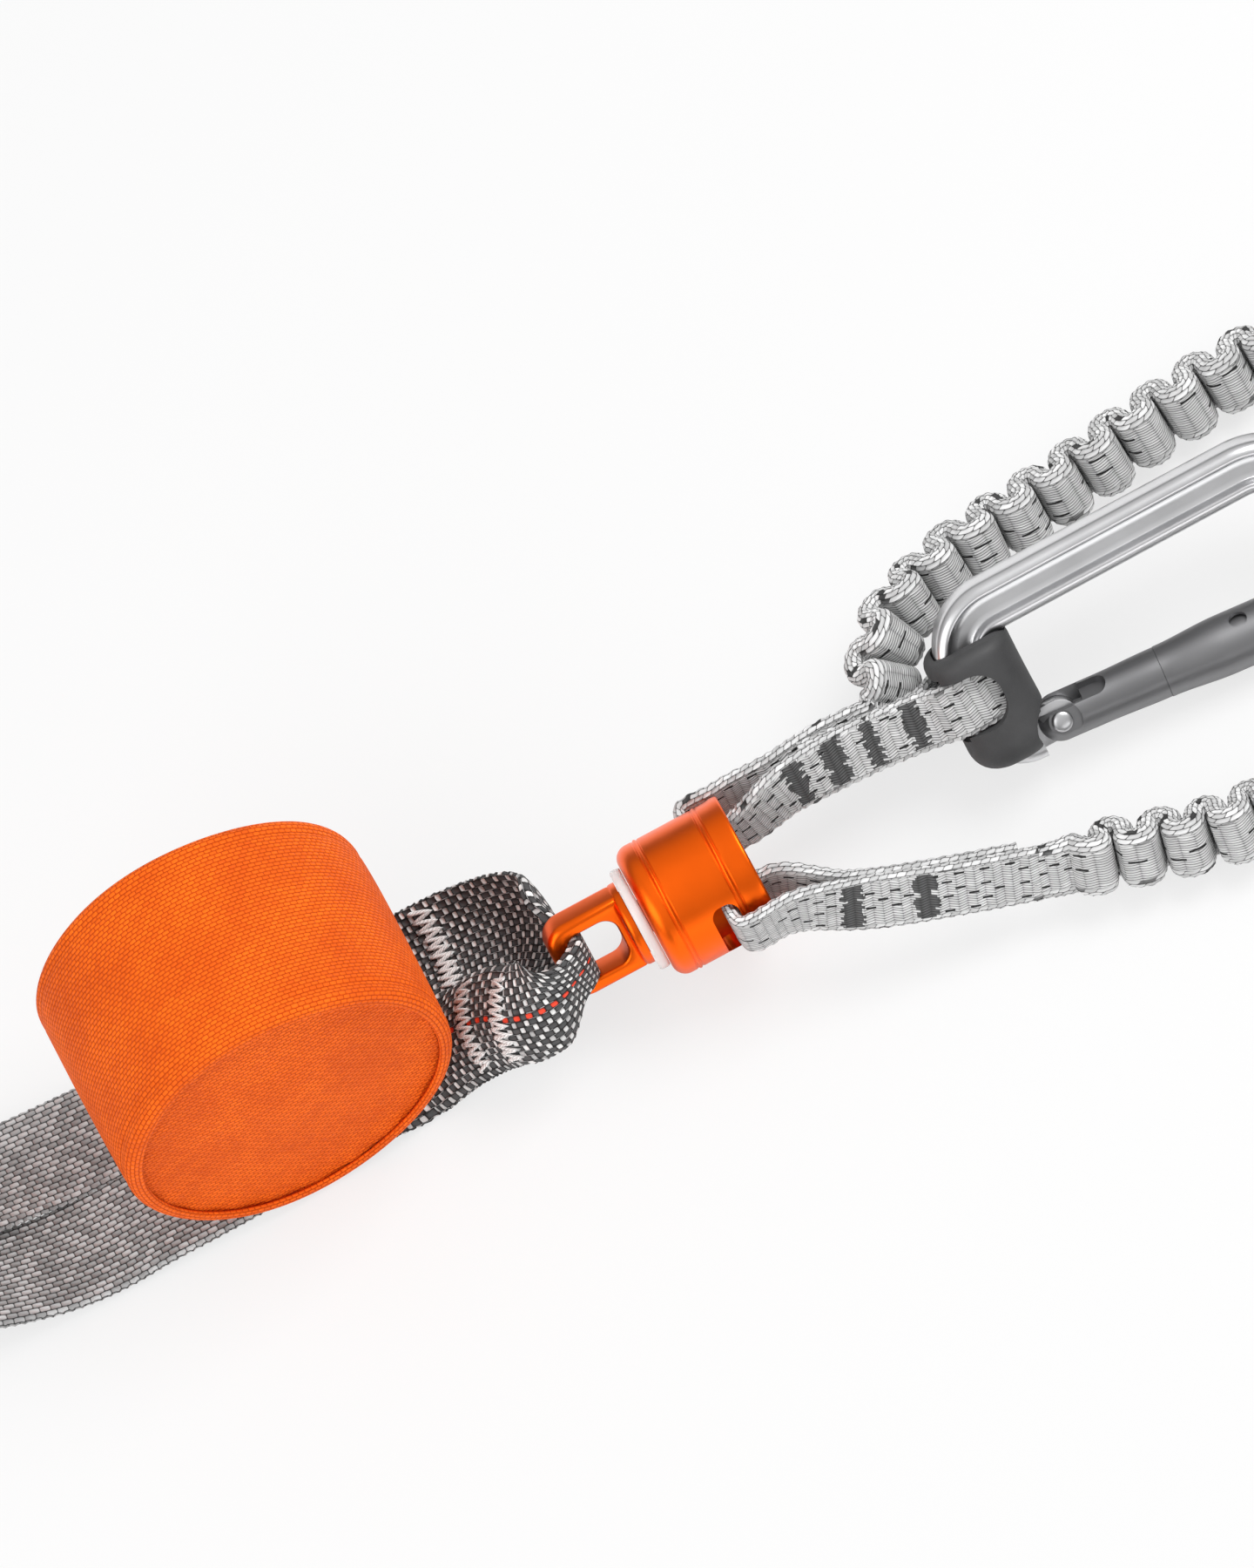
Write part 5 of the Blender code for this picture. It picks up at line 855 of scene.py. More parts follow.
def bartack(name, strip, middle, low, high, side, swing=0.0023, step=0.00100, passes=2):
    """Zigzag across a strap between two places, raised at the swings and pulled in at the holes."""
    stitches = []
    for turn in range(passes):
        count = int((high - low) / step)
        for i in range(count + 1):
            share = i / count if turn % 2 == 0 else 1 - i / count
            across_place = low + (high - low) * share + rng.uniform(-1, 1) * 0.00012
            reach = swing * (1 if (i + turn) % 2 else -1) * rng.uniform(0.86, 1.08)
            stitches.append((middle + reach + turn * 0.0007, across_place, turn))
    stitches = np.array(stitches)
    share = np.linspace(0, 1, 7)[:-1]
    run, across = (stitches[:-1, k:k + 1] + np.diff(stitches[:, k])[:, None] * share for k in (0, 1))
    rise = 0.00012 + 0.00034 * np.sin(math.pi * share) ** 0.5 + stitches[:-1, 2:] * 0.00016
    places = strip.at(run.ravel(), across.ravel(), side * rise.ravel())
    paint(tube_of(name, places, 0.00040, "absorber"), light_thread)


def run_near(strip, place_xy, side):
    """The run at which a strap's face projects nearest to a pixel of the photograph."""
    rows = strip.data[:, :3] + strip.data[:, 6:] * strip.half * side - np.array(aim)
    pixel = np.stack([picture_wide / 2 + rows @ np.array(right) * pixels_per_metre,
                      picture_high / 2 - rows @ np.array(up) * pixels_per_metre], 1)
    seen = (strip.data[:, 6:] * side) @ np.array(back) > 0.1
    gap = np.linalg.norm(pixel - place_xy, axis=1) + np.where(seen, 0, 1e4)
    return strip.runs[int(gap.argmin())], float(gap.min())


for name, pixel in (("bartack_far", (503, 1080)), ("bartack_near", (571, 1176)), ("bartack_pouch", (540, 1198))):
    options = [(run_near(loop_faces, pixel, side), side) for side in (1, -1)]
    (run, gap), side = min(options, key=lambda option: option[0][1])
    print(name, "run", round(run, 4), "gap in pixels", round(gap, 1), "side", side)
    bartack(name, loop_faces, run, -0.0098, 0.0098, side)


# %% [markdown]
# ## Fabric pouch
# The real pouch is a short drum of coated cloth round the rolled tear webbing. The barrel's hem stands proud of
# the two end panels, which are set in and crowned. It is turned, and since cloth on a rolled pack is never quite
# round, a low swell is added: height = sum of slow sines round the barrel and along it.

# %%
pouch_radius, pouch_half, pouch_bore, hem_round, lip = 0.0400, 0.0260, 0.0384, 0.0026, 0.0362
pouch_middle = np.array([-0.0882, 0.0166, 0.0400]) + shift


def swell_of(angle, along, size):
    """Slow, uneven fullness of stuffed cloth: three sines of the angle, two of them drifting along the axis."""
    return size * (0.5 * np.sin(3 * angle + 1.0) + 0.35 * np.sin(5 * angle + 60 * along)
                   + 0.3 * np.sin(2 * angle - 90 * along + 2.0)) / 1.15


def turned_cloth(name, profile, sides, shape, closed, scale_u, sign=1):
    """A cloth surface from rows of (radius, along). U runs round, V along the profile; shape(r, along, a) moves it."""
    profile = np.array(profile, float)
    if closed:
        profile = np.vstack([profile, profile[:1]])
    angles = np.arange(sides) * 2 * math.pi / sides
    radius, along = shape(*(np.repeat(profile[:, k:k + 1], sides, axis=1) for k in (0, 1)), angles[None, :])
    rings = np.stack([radius * np.cos(angles), along * sign, radius * np.sin(angles)], -1)
    rings, runs = (rings[:-1] if closed else rings), runs_of(profile)
    count = len(rings)
    i, j = np.meshgrid(np.arange(count if closed else count - 1), np.arange(sides), indexing="ij")
    k, n = (j + 1) % sides, (i + 1) % count
    faces = np.stack([i * sides + j, i * sides + k, n * sides + k, n * sides + j], -1).reshape(-1, 4)
    u0, u1 = angles[j] * scale_u, np.append(angles, 2 * math.pi)[j + 1] * scale_u
    uv = np.stack([np.stack(corner, -1) for corner in
                   ((u0, runs[i]), (u1, runs[i]), (u1, runs[i + 1]), (u0, runs[i + 1]))], 2).reshape(-1, 4, 2)
    return piece_from(name, rings.reshape(-1, 3) + pouch_middle, list(faces), list(uv), "absorber")


def barrel_shape(radius, along, angles):
    """Outside only: a swell that fades towards the hems, and a fine groove beside each hem."""
    outside = radius > 0.0390
    full = 1 - (np.abs(along) / pouch_half) ** 4
    lift = np.where(outside, full * (0.0003 + swell_of(angles, along, 0.00045)), 0.0)
    hem = np.where(outside, -0.0004 * np.exp(-((np.abs(along) - 0.0218) / 0.0007) ** 2), 0.0)
    return radius + lift + hem, along + 0.00022 * np.sin(4 * angles) * (np.abs(along) > 0.024)


half, hem_radius = pouch_half, 0.0374
profile = [(0.0372, half)] + arc((hem_radius, half - hem_round), hem_round, 90, 0, 8)
profile += [(pouch_radius, along) for along in np.linspace(0.0215, -0.0215, 40)]
profile += arc((hem_radius, -half + hem_round), hem_round, 0, -90, 8) + [(0.0372, -half)]
profile += arc((0.0370, -half + 0.0006), 0.0006, 270, 180, 4) + [(lip + 0.0002, -half + 0.0011)]
profile += [(pouch_bore - 0.0002, -half + 0.0013), (pouch_bore, half - 0.0013)]
profile += [(lip + 0.0002, half - 0.0011)] + arc((0.0370, half - 0.0006), 0.0006, 180, 90, 4)
barrel = turned_cloth("pouch_barrel", profile, 360, barrel_shape, True, pouch_radius)

# %% [markdown]
# ## Openings under the barrel
# Both webbings leave the pouch by slots under it, one on each side. Each slot is a box taken away from the barrel.

# %%


def cut_with(obj, mesh):
    """Boolean difference with a mesh, applied at once."""
    tool = bpy.data.objects.new("cutting_tool", mesh)
    scene.collection.objects.link(tool)
    step = obj.modifiers.new("cut", "BOOLEAN")
    step.operation, step.solver, step.object = "DIFFERENCE", "EXACT", tool
    bpy.context.view_layer.update()
    cut_mesh = bpy.data.meshes.new_from_object(obj.evaluated_get(bpy.context.evaluated_depsgraph_get()))
    obj.modifiers.clear()
    obj.data = cut_mesh
    bpy.data.objects.remove(tool)


slot_near, slot_far, slot_half, slot_floor, slot_top = 0.003, 0.024, 0.0248, -0.003, 0.0055
slot_size = Vector((slot_far - slot_near, 2 * slot_half, slot_top - slot_floor))
for sign in (1, -1):
    bm = bmesh.new()
    middle = (pouch_middle[0] + sign * (slot_near + slot_far) / 2, pouch_middle[1], (slot_top + slot_floor) / 2)
    bmesh.ops.create_cube(bm, size=1.0, matrix=Matrix.Translation(middle) @ Matrix.Diagonal((*slot_size, 1)))
    slot_mesh = bpy.data.meshes.new("slot")
    bm.to_mesh(slot_mesh)
    bm.free()
    cut_with(barrel, slot_mesh)
dress(barrel, "pouch_side_panel", orange_cloth)

# %% [markdown]
# ## End panels
# The two round panels are crowned by the roll behind them and puckered at their rim by the seam: outer height =
# 1.6 mm (1 - s^2)^2 with s the share of the radius, plus 22 small waves near the rim and a slow drape.

# %%
crown, panel_back = 0.0016, 0.0012


def panel_shape(radius, along, angles):
    """Puckers on the outer face near the rim, and a drape that dies out at the rim."""
    share = radius / pouch_bore
    pucker = 0.00016 * np.sin(22 * angles) * np.clip(share * 6 - 4.6, 0, 1)
    drape = 0.0003 * np.sin(2 * angles + 0.6) * share**2 * (1 - share**6) + 0.0002 * np.sin(3 * angles) * share
    return radius, along + pucker * (along > half - 0.004) + drape * (1 - share**8)


disc = [(0.00002, half - 0.0015 + crown)]
disc += [((pouch_bore - 0.0003) * s, half - panel_back - 0.0003 + crown * (1 - s**2) ** 2)
         for s in np.linspace(0, 1, 48)[1:]]
disc += [(r, h - crown) for r, h in disc[::-1]]
for name, sign in (("front", -1), ("back", 1)):
    panel = turned_cloth("pouch_" + name + "_cloth", disc, 300, panel_shape, False, 0.02, sign)
    if sign > 0:
        panel.data.flip_normals()
    spots = np.empty(len(panel.data.loops), dtype=np.int64)
    panel.data.loops.foreach_get("vertex_index", spots)
    places = np.empty(len(panel.data.vertices) * 3)
    panel.data.vertices.foreach_get("co", places)
    panel.data.uv_layers["UVMap"].data.foreach_set("uv", places.reshape(-1, 3)[spots][:, (0, 2)].ravel())
    dress(panel, "pouch_" + name + "_panel", orange_cloth)


# %% [markdown]
# ## Tools for turned and forged metal
# The bell, the washer, the rivet and every gate are lathe work, so each is a profile turned about an axis, with its
# round edges in the profile itself. The forged eye and the cutters are flat outlines with a height, and the
# carabiner is a bar section swept along a line. All three are whole arrays of rings, joined by one function; a bmesh
# then only welds points, turns the normals outwards and bevels rims.

# %%


def ring_solid(rings, closed=False):
    """Rings of equal size joined in a row. Quad (i, j) spans rings i and i + 1; both ends are capped unless closed."""
    count, sides = rings.shape[:2]
    i, j = np.meshgrid(np.arange(count if closed else count - 1), np.arange(sides), indexing="ij")
    k, n = (j + 1) % sides, (i + 1) % count
    faces = np.stack([i * sides + j, i * sides + k, n * sides + k, n * sides + j], -1).reshape(-1, 4).tolist()
    if not closed:
        faces += [list(range(sides)), list(range((count - 1) * sides, count * sides))]
    mesh = bpy.data.meshes.new("rings")
    mesh.from_pydata(rings.reshape(-1, 3).tolist(), [], faces)
    bm = bmesh.new()
    bm.from_mesh(mesh)
    bpy.data.meshes.remove(mesh)
    bmesh.ops.recalc_face_normals(bm, faces=bm.faces)
    return bm


def turned(profile, sides=128, ring=False):
    """A profile of (radius, height) turned about Z: place = (radius cos a, radius sin a, height)."""
    radius, height = np.array(profile, float).T[:, :, None]
    angles = np.arange(sides) * 2 * math.pi / sides
    return ring_solid(np.stack([radius * np.cos(angles), radius * np.sin(angles), height + 0 * angles], -1), ring)


def slab(outline, low, high, round_by=0.0, steps=3):
    """A flat outline between two heights. Its level edges, the two rims, are rounded by round_by."""
    outline = np.array(outline, float)
    bm = ring_solid(np.stack([np.column_stack([outline, np.full(len(outline), z)]) for z in (low, high)]))
    if round_by:
        rim = [edge for edge in bm.edges if abs(edge.verts[0].co.z - edge.verts[1].co.z) < 1e-7]
        bmesh.ops.bevel(bm, geom=rim, offset=round_by, segments=steps, affect="EDGES", profile=0.5)
    return bm


def round_box(x0, x1, y0, y1, corner, steps=8):
    """Outline of a box whose four corners are quarter circles."""
    corners = ((x1 - corner, y1 - corner), (x0 + corner, y1 - corner), (x0 + corner, y0 + corner),
               (x1 - corner, y0 + corner))
    return [point for k, middle in enumerate(corners) for point in arc(middle, corner, 90 * k, 90 * k + 90, steps)]


def dome(radius, height, base, first, last, steps):
    """Profile rows on a quarter ellipse: (radius cos a, base + height sin a) between two angles in radians."""
    return [(radius * math.cos(a), base + height * math.sin(a)) for a in np.linspace(first, last, steps)]


def soften(obj, angle=32):
    """Smooth faces, with sharp edges only where the surface turns by more than an angle."""
    obj.data.polygons.foreach_set("use_smooth", [True] * len(obj.data.polygons))
    obj.data.set_sharp_from_angle(angle=math.radians(angle))


def finish_mesh(name, bm, place, body, material, node, angle=32):
    """A named piece from a bmesh, put in place, riding on a body and standing for a node if one is given."""
    bmesh.ops.remove_doubles(bm, verts=bm.verts, dist=1e-7)
    bmesh.ops.recalc_face_normals(bm, faces=bm.faces)
    obj = bpy.data.objects.new(name, mesh_from(bm, place))
    obj.data.name = name
    scene.collection.objects.link(obj)
    soften(obj, angle)
    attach(obj, body)
    if node:
        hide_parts(node)
    paint(obj, material)
    print(name, len(obj.data.polygons), "faces on", body)
    return obj


def mesh_from(bm, place):
    """Mesh of a bmesh at a place. Cutters are made this way too."""
    mesh = bpy.data.meshes.new("cutter")
    bm.to_mesh(mesh)
    bm.free()
    mesh.transform(place)
    return mesh


def cut(obj, bm, place):
    """Takes a bmesh at a place away from a piece."""
    cut_with(obj, mesh_from(bm, place))


def place_at(*place):
    """Shift to a place counted from the foot of the washer."""
    return Matrix.Translation(Vector(shift) + Vector(place))


def turn(degrees, axis):
    """Rotation about a coordinate axis."""
    return Matrix.Rotation(math.radians(degrees), 4, axis)


# %% [markdown]
# ## Swivel bell
# On the real lanyard an anodised bell holds both arms, and they leave it by two windows in its sides. It is turned:
# a rounded shoulder, a fine ring near each end, a rim that flares a little, a bore. The windows are one round
# cornered slab that goes right through, leant by 5 degrees as the arms are.

# %%
swivel_place = Matrix.Translation(washer)
along_x = swivel_place @ turn(90, "Y")
bell_start, bell_end, bell_radius, bell_bore, bell_floor = 0.00175, 0.02825, 0.0160, 0.0126, 0.0080
stem_hole, shoulder, rim_flare, rim_round, mouth_round = 0.0044, 0.0033, 0.0002, 0.0007, 0.0008
ring_half, ring_height, ring_root = 0.0009, 0.00022, -0.00016
window_length, window_half, window_corner, window_back = 0.0064, 0.0086, 0.0024, 0.0074


def fine_ring(at):
    """A small ring between two grooves: rows of (share of its half width, height over the bell)."""
    half_rows = ((1, 0), (0.72, ring_root), (0.55, ring_root), (0.3, ring_height * 0.4))
    rows = [(-share, lift) for share, lift in half_rows] + [(0, ring_height)] + list(half_rows[::-1])
    return [(bell_radius + lift, at + ring_half * share) for share, lift in rows]


bell = [(stem_hole, bell_start)] + arc((bell_radius - shoulder, bell_start + shoulder), shoulder, -90, 0, 12)
bell += fine_ring(bell_start + 0.0056) + fine_ring(bell_end - 0.0062)
bell += [(bell_radius, bell_end - 0.0036), (bell_radius + rim_flare, bell_end - 0.0016),
         (bell_radius + rim_flare, bell_end - 0.0009)]
bell += arc((bell_radius + rim_flare - rim_round, bell_end - rim_round), rim_round, 0, 90, 5)
bell += arc((bell_bore + mouth_round, bell_end - mouth_round), mouth_round, 90, 180, 4)
bell += [(bell_bore, bell_start + bell_floor + 0.0006), (bell_bore - 0.0006, bell_start + bell_floor),
         (stem_hole, bell_start + bell_floor)]
bell_piece = finish_mesh("swivel_bell", turned(bell, 192, ring=True), along_x, "arms", orange_metal, "swivel_body")
window_end = bell_end - window_back
window = round_box(window_end - window_length, window_end, -window_half, window_half, window_corner)
cut(bell_piece, slab(window, -0.02, 0.02), swivel_place @ turn(85, "X"))
soften(bell_piece, 28)

# %% [markdown]
# ## Swivel eye and washer
# The eye is forged: a thick lug with broad round edges and a slot for the black loop. It goes over into a disc, a
# collar and the stem inside the bell. The lug is a slab with 5 bevel steps, its slot gets its own small bevel, and
# disc and stem are turned. The translucent washer between disc and bell has a rounded rim.

# %%
lug_end, lug_foot, lug_half, lug_round, lug_half_thickness = -0.02105, -0.0022, 0.0098, 0.0052, 0.0040
outline = [(lug_foot, lug_half)] + arc((lug_end + lug_round, lug_half - lug_round), lug_round, 90, 180, 10)
outline += arc((lug_end + lug_round, lug_round - lug_half), lug_round, 180, 270, 10) + [(lug_foot, -lug_half)]
eye_turn = swivel_place @ turn(60, "X")
lug = slab(outline, -lug_half_thickness, lug_half_thickness, 0.0017, 5)
eye_piece = finish_mesh("forged_eye", lug, eye_turn, "absorber", orange_metal, "swivel_eye")
cut(eye_piece, slab(round_box(lug_end + 0.0037, -0.0049, -0.0062, 0.0062, 0.0036, 10), -0.009, 0.009), eye_turn)
bm = bmesh.new()
bm.from_mesh(eye_piece.data)
slot_rim = [edge for edge in bm.edges if edge.is_manifold and edge.calc_face_angle() > math.radians(70)
            and edge.calc_length() < 0.02]
bmesh.ops.bevel(bm, geom=slot_rim, offset=0.0008, segments=3, affect="EDGES", profile=0.5, clamp_overlap=True)
bm.to_mesh(eye_piece.data)
bm.free()
soften(eye_piece, 40)

disc_radius, disc_back, disc_front, disc_round, on_axis = 0.0088, -0.00325, -0.00105, 0.0012, 0.00001
collar_radius, collar_end, stem_radius, stem_end = 0.0076, 0.00145, 0.0040, 0.0159
stem = [(on_axis, disc_back), (disc_radius, disc_back)]
stem += arc((disc_radius, disc_back + disc_round), disc_round, -90, 0, 6) + [(disc_radius + disc_round, disc_front)]
stem += [(collar_radius, disc_front), (collar_radius, collar_end), (stem_radius, collar_end)]
stem += [(stem_radius, stem_end), (on_axis, stem_end)]
finish_mesh("eye_disc_and_stem", turned(stem, 128), along_x, "absorber", orange_metal, None)

washer_bore, washer_back, washer_front = 0.0079, -0.00090, 0.0016
washer_rim = [(0.0119 + 0.0005 * math.cos(a), 0.00035 + 0.0013 * math.sin(a)) for a in np.linspace(-1.4, 1.4, 12)]
washer_profile = [(washer_bore, washer_back)] + washer_rim + [(washer_bore, washer_front)]
finish_mesh("soft_washer", turned(washer_profile, 160, ring=True), along_x, "arms", washer_plastic, "outer_washer")

# %% [markdown]
# ## Rest carabiner: frame
# The real frame is hot forged from one bar, with a channel in both faces that saves weight and runs out before the
# hinge and the nose. The bar is swept along straight runs and true arcs. Its section is linear in the channel's
# depth, so one flat and one deep outline give every ring: section = flat + depth (deep - flat).

# %%
clip_place = place_at(0.1042, 0.0021, 0.0116) @ turn(45, "X")
splay = math.radians(5.0)
gate_flat = clip_place @ turn(-5.0, "Z")
gate_axis = gate_flat @ turn(90, "Y")
bar_half_width, bar_half_height, bar_edge, channel_depth = 0.0060, 0.0052, 0.0026, 0.0022


def rounded_line(points, radii, step=0.0008, longest=0.0015):
    """Straight runs joined by true arcs. On an arc: place = middle + (p sin((1 - s) A) + q sin(s A)) / sin A."""
    points = [np.array(p, float) for p in points]
    out = [points[0]]
    for before, corner, after, radius in zip(points, points[1:], points[2:], radii):
        a, b = before - corner, after - corner
        a, b = a / np.linalg.norm(a), b / np.linalg.norm(b)
        half = math.acos(float(np.clip(a @ b, -1, 1))) / 2
        reach, sweep = radius / math.tan(half), math.pi - 2 * half
        middle = corner + (a + b) / np.linalg.norm(a + b) * radius / math.sin(half)
        share = np.linspace(0, 1, max(6, int(radius * sweep / step)) + 1)[:, None]
        out += list(middle + ((corner + a * reach - middle) * np.sin((1 - share) * sweep)
                              + (corner + b * reach - middle) * np.sin(share * sweep)) / math.sin(sweep))
    out.append(points[-1])
    dense = [out[0]]
    for point in out[1:]:
        pieces = max(1, int(np.linalg.norm(point - dense[-1]) / longest))
        dense += [dense[-1] + (point - dense[-1]) * k / pieces for k in range(1, pieces + 1)]
    return np.array(dense)


def bar_outline(groove):
    """Section of the bar, u across it and w through it: round edges and a soft channel of a depth in both faces."""
    quarter = [(bar_half_width - bar_edge + u, bar_half_height - bar_edge + w)
               for u, w in arc((0, 0), bar_edge, 0, 90, 7)]
    quarter[0] = (bar_half_width, 0.0012)
    channel = [(0.0034 - 0.0012 * s, bar_half_height - groove * float(eased(s))) for s in np.linspace(0, 1, 7)]
    upper = quarter + channel + [(0.0008, bar_half_height - groove)]
    upper += [(-u, w) for u, w in upper[::-1]]
    return np.array(upper + [(-u, -w) for u, w in upper])


def swept_bar(path, groove_depth, grow=0.0):
    """The bar's section along a flat line, grown by a share all round; the channel fades out at both ends."""
    runs = runs_of(path)
    tangents = unit_rows(np.gradient(path, runs, axis=0))
    depth = groove_depth * eased(np.minimum(runs - 0.020, runs[-1] - runs) / 0.012)
    flat = bar_outline(0.0)
    section = (flat + depth[:, None, None] * (bar_outline(1.0) - flat)) * (1 + grow)
    across, through = section[..., :1], section[..., 1:]
    sideways = tangents[:, None, ::-1] * (-1, 1)
    return ring_solid(np.concatenate([path[:, None] + sideways * across, through], -1))


along_gate = np.array((math.cos(splay), -math.sin(splay)))
clip_line = rounded_line([(-0.0060, 0), (-0.0135, 0), (-0.0135, 0.0312), (0.0770, 0.0312),
                          along_gate * 0.0770 / math.cos(splay), along_gate * 0.0612],
                         (0.0068, 0.0110, 0.0170, 0.0095))
finish_mesh("rest_frame_bar", swept_bar(clip_line, channel_depth), clip_place, "arms", silver_metal,
            "rest_carabiner_frame", 50)
tongue = [(-0.0066, -0.0044)] + arc((0, 0), 0.0044, -90, 90, 16) + [(-0.0066, 0.0044)]
finish_mesh("rest_frame_tongue", slab(tongue, -0.0017, 0.0017, 0.0003, 2), clip_place, "arms", silver_metal, None)

# %% [markdown]
# ## Rest carabiner: gate, sleeve and rivet
# The gate is a turned bar with a ball end, a fork that straddles the frame's tongue, flat seats for the rivet's
# heads and a bore for its spring. The locking sleeve starts flush on it and swells to its full round, with a small
# through hole and a thumb stop. The rivet has a low head on each side.

# %%
gate_radius, gate_end, gate_swell, gate_round = 0.0056, 0.0605, 0.00034, 0.0012


def ball_end(radius):
    """Half a ball at the hinge end of a gate: (radius sin a, -radius cos a)."""
    return [(radius * math.sin(a), -radius * math.cos(a)) for a in np.linspace(0.02, math.pi / 2, 14)]


def gate_tip(radius, end):
    """The round corner and the flat tip of a gate."""
    return arc((radius - gate_round, end - gate_round), gate_round, 0, 90, 5) + [(on_axis, end)]


gate_profile = ball_end(gate_radius) + [(gate_radius, 0.0100)]
gate_profile += [(gate_radius + gate_swell * float(eased(s)), 0.0100 + 0.0140 * s) for s in np.linspace(0.1, 1, 10)]
gate_profile += [(gate_radius + gate_swell, 0.0249), (gate_radius, 0.0251), (gate_radius, gate_end - gate_round)]
gate_profile += gate_tip(gate_radius, gate_end)
gate_piece = finish_mesh("rest_gate_bar", turned(gate_profile, 96), gate_axis, "rest_gate", dark_metal,
                         "rest_carabiner_gate")


def facing(degrees):
    """Turn about the gate's axis that points its local X between the view and the image's upright."""
    axis = gate_axis.to_3x3() @ Vector((0, 0, 1))
    toward = (back - axis * back.dot(axis)).normalized()
    upright = axis.cross(toward)
    upright = upright if upright.dot(up) > 0 else -upright
    lean = math.radians(degrees)
    aim_at = gate_axis.to_3x3().inverted() @ (toward * math.cos(lean) + upright * math.sin(lean))
    return Matrix.Rotation(math.atan2(aim_at.y, aim_at.x), 4, "Z")


def open_fork(piece, flat, seat_radius):
    """Opens a gate's fork and the flat seats of its rivet on both sides."""
    fork = [(-0.0080, -0.0080), (0.0062, -0.0080), (0.0062, 0.0080), (-0.0080, 0.0080)]
    cut(piece, slab(fork, -0.0021, 0.0021), flat)
    for low, high in ((0.0047, 0.0080), (-0.0080, -0.0047)):
        cut(piece, slab(arc((0, 0), seat_radius, 0, 352.5, 47), low, high), flat)


open_fork(gate_piece, gate_flat, 0.0046)
long_slot = [(-0.0090, -0.0026)] + arc((0.0098, 0), 0.0026, -90, 90, 18) + [(-0.0090, 0.0026)]
cut(gate_piece, slab(long_slot, 0.0030, 0.0090), gate_axis @ facing(40) @ turn(90, "Y") @ turn(180, "Z"))
spring_bore = ((0.0026, 0.0040), (0.0026, 0.0198))
cut(gate_piece, turned(spring_bore, 32), gate_axis)
soften(gate_piece, 30)

sleeve_bore, sleeve_start, sleeve_length, sleeve_radius = 0.0060, 0.0250, 0.0343, 0.0069
sleeve_profile = [(sleeve_bore, sleeve_start), (0.00606, sleeve_start)]
sleeve_profile += [(0.00606 + 0.00084 * float(eased(s)), 0.0252 + 0.0150 * s) for s in np.linspace(0, 1, 14)]
sleeve_profile += [(sleeve_radius, 0.0585)] + arc((sleeve_radius - 0.0005, 0.0588), 0.0005, 0, 90, 4)
sleeve_profile += [(sleeve_bore, sleeve_start + sleeve_length)]
sleeve_piece = finish_mesh("rest_sleeve_tube", turned(sleeve_profile, 128, ring=True), gate_axis, "rest_sleeve",
                           dark_metal, "rest_locking_sleeve")
hole_turn, stop_place = (gate_axis @ Matrix.Translation((0, 0, sleeve_start + sleeve_length * share)) @ facing(angle)
                         @ turn(90, "Y") for share, angle in ((0.58, 36), (0.78, -88)))
cut(sleeve_piece, turned([(0.0021, 0.0), (0.0021, 0.0140)], 40), hole_turn)
soften(sleeve_piece, 30)
stop = slab(round_box(-0.0014, 0.0014, -0.0016, 0.0016, 0.0008, 5), 0.0062, 0.0078, 0.0005, 3)
finish_mesh("rest_sleeve_stop", stop, stop_place, "rest_sleeve", dark_metal, None)

rivet_half, rivet_radius, head_radius, head_height = 0.0050, 0.0016, 0.0024, 0.0008
head = dome(head_radius, head_height, rivet_half, 0, math.pi / 2 - 0.2, 8)
half_rivet = [(rivet_radius, rivet_half)] + head + [(on_axis, rivet_half + head_height)]
rivet_profile = [(r, -h) for r, h in half_rivet[::-1]] + half_rivet
finish_mesh("rest_hinge_rivet", turned(rivet_profile, 64), clip_place, "arms", steel_metal, "rest_carabiner_gate_rivet")

# %% [markdown]
# ## Rest carabiner: rubber keeper
# A moulded rubber drum grips the end of the frame and holds the webbing in place. Each ring is a rounded square,
# x = a sgn(cos t) |cos t|^0.78 and z = b sgn(sin t) |sin t|^0.78, pulled in at both rims and at a slight waist, and
# limited on the gate's side so that the gate can turn. The bar, a room inside and the webbing's mouth are cut out.

# %%
keeper_low, keeper_high, keeper_edge, keeper_foot, keeper_middle = -0.0030, 0.0262, 0.0030, 0.0060, -0.0115
keeper_half_x, keeper_half_z, square_power, gate_clearance = 0.0104, 0.0119, 0.78, 0.0063
turn_in, spread = np.linspace(0, math.pi / 2, 10), np.linspace(0, math.pi / 2, 7)
y = np.concatenate([keeper_low + keeper_foot - keeper_foot * np.cos(turn_in),
                    np.linspace(keeper_low + keeper_foot + 0.001, keeper_high - keeper_edge - 0.001, 26),
                    keeper_high - keeper_edge + keeper_edge * np.sin(spread)])[:, None]
pull = np.concatenate([keeper_foot * np.sin(turn_in) - keeper_foot, np.zeros(26),
                       keeper_edge * np.cos(spread) - keeper_edge])[:, None]
fit = pull - 0.0003 * np.sin(math.pi * (y - keeper_low) / (keeper_high - keeper_low))
angles = np.arange(120) * 2 * math.pi / 120
c, s = np.cos(angles), np.sin(angles)
x = keeper_middle + (keeper_half_x + fit) * np.copysign(np.abs(c) ** square_power, c)
z = (keeper_half_z + fit) * np.copysign(np.abs(s) ** square_power, s)
limit = np.minimum(-0.0011, -0.0074 + 0.0063 * eased((y + 0.006) / 0.015))
limit = np.minimum(limit, -np.sqrt(np.maximum(0.0, gate_clearance**2 - y * y)))
drum = ring_solid(np.stack([np.minimum(x, limit), y + 0 * x, z], -1))
keeper = finish_mesh("rest_rubber_keeper", drum, clip_place, "arms", black_rubber, "rest_carabiner_keeper")
cut(keeper, swept_bar(clip_line, 0.0, 0.09), clip_place)
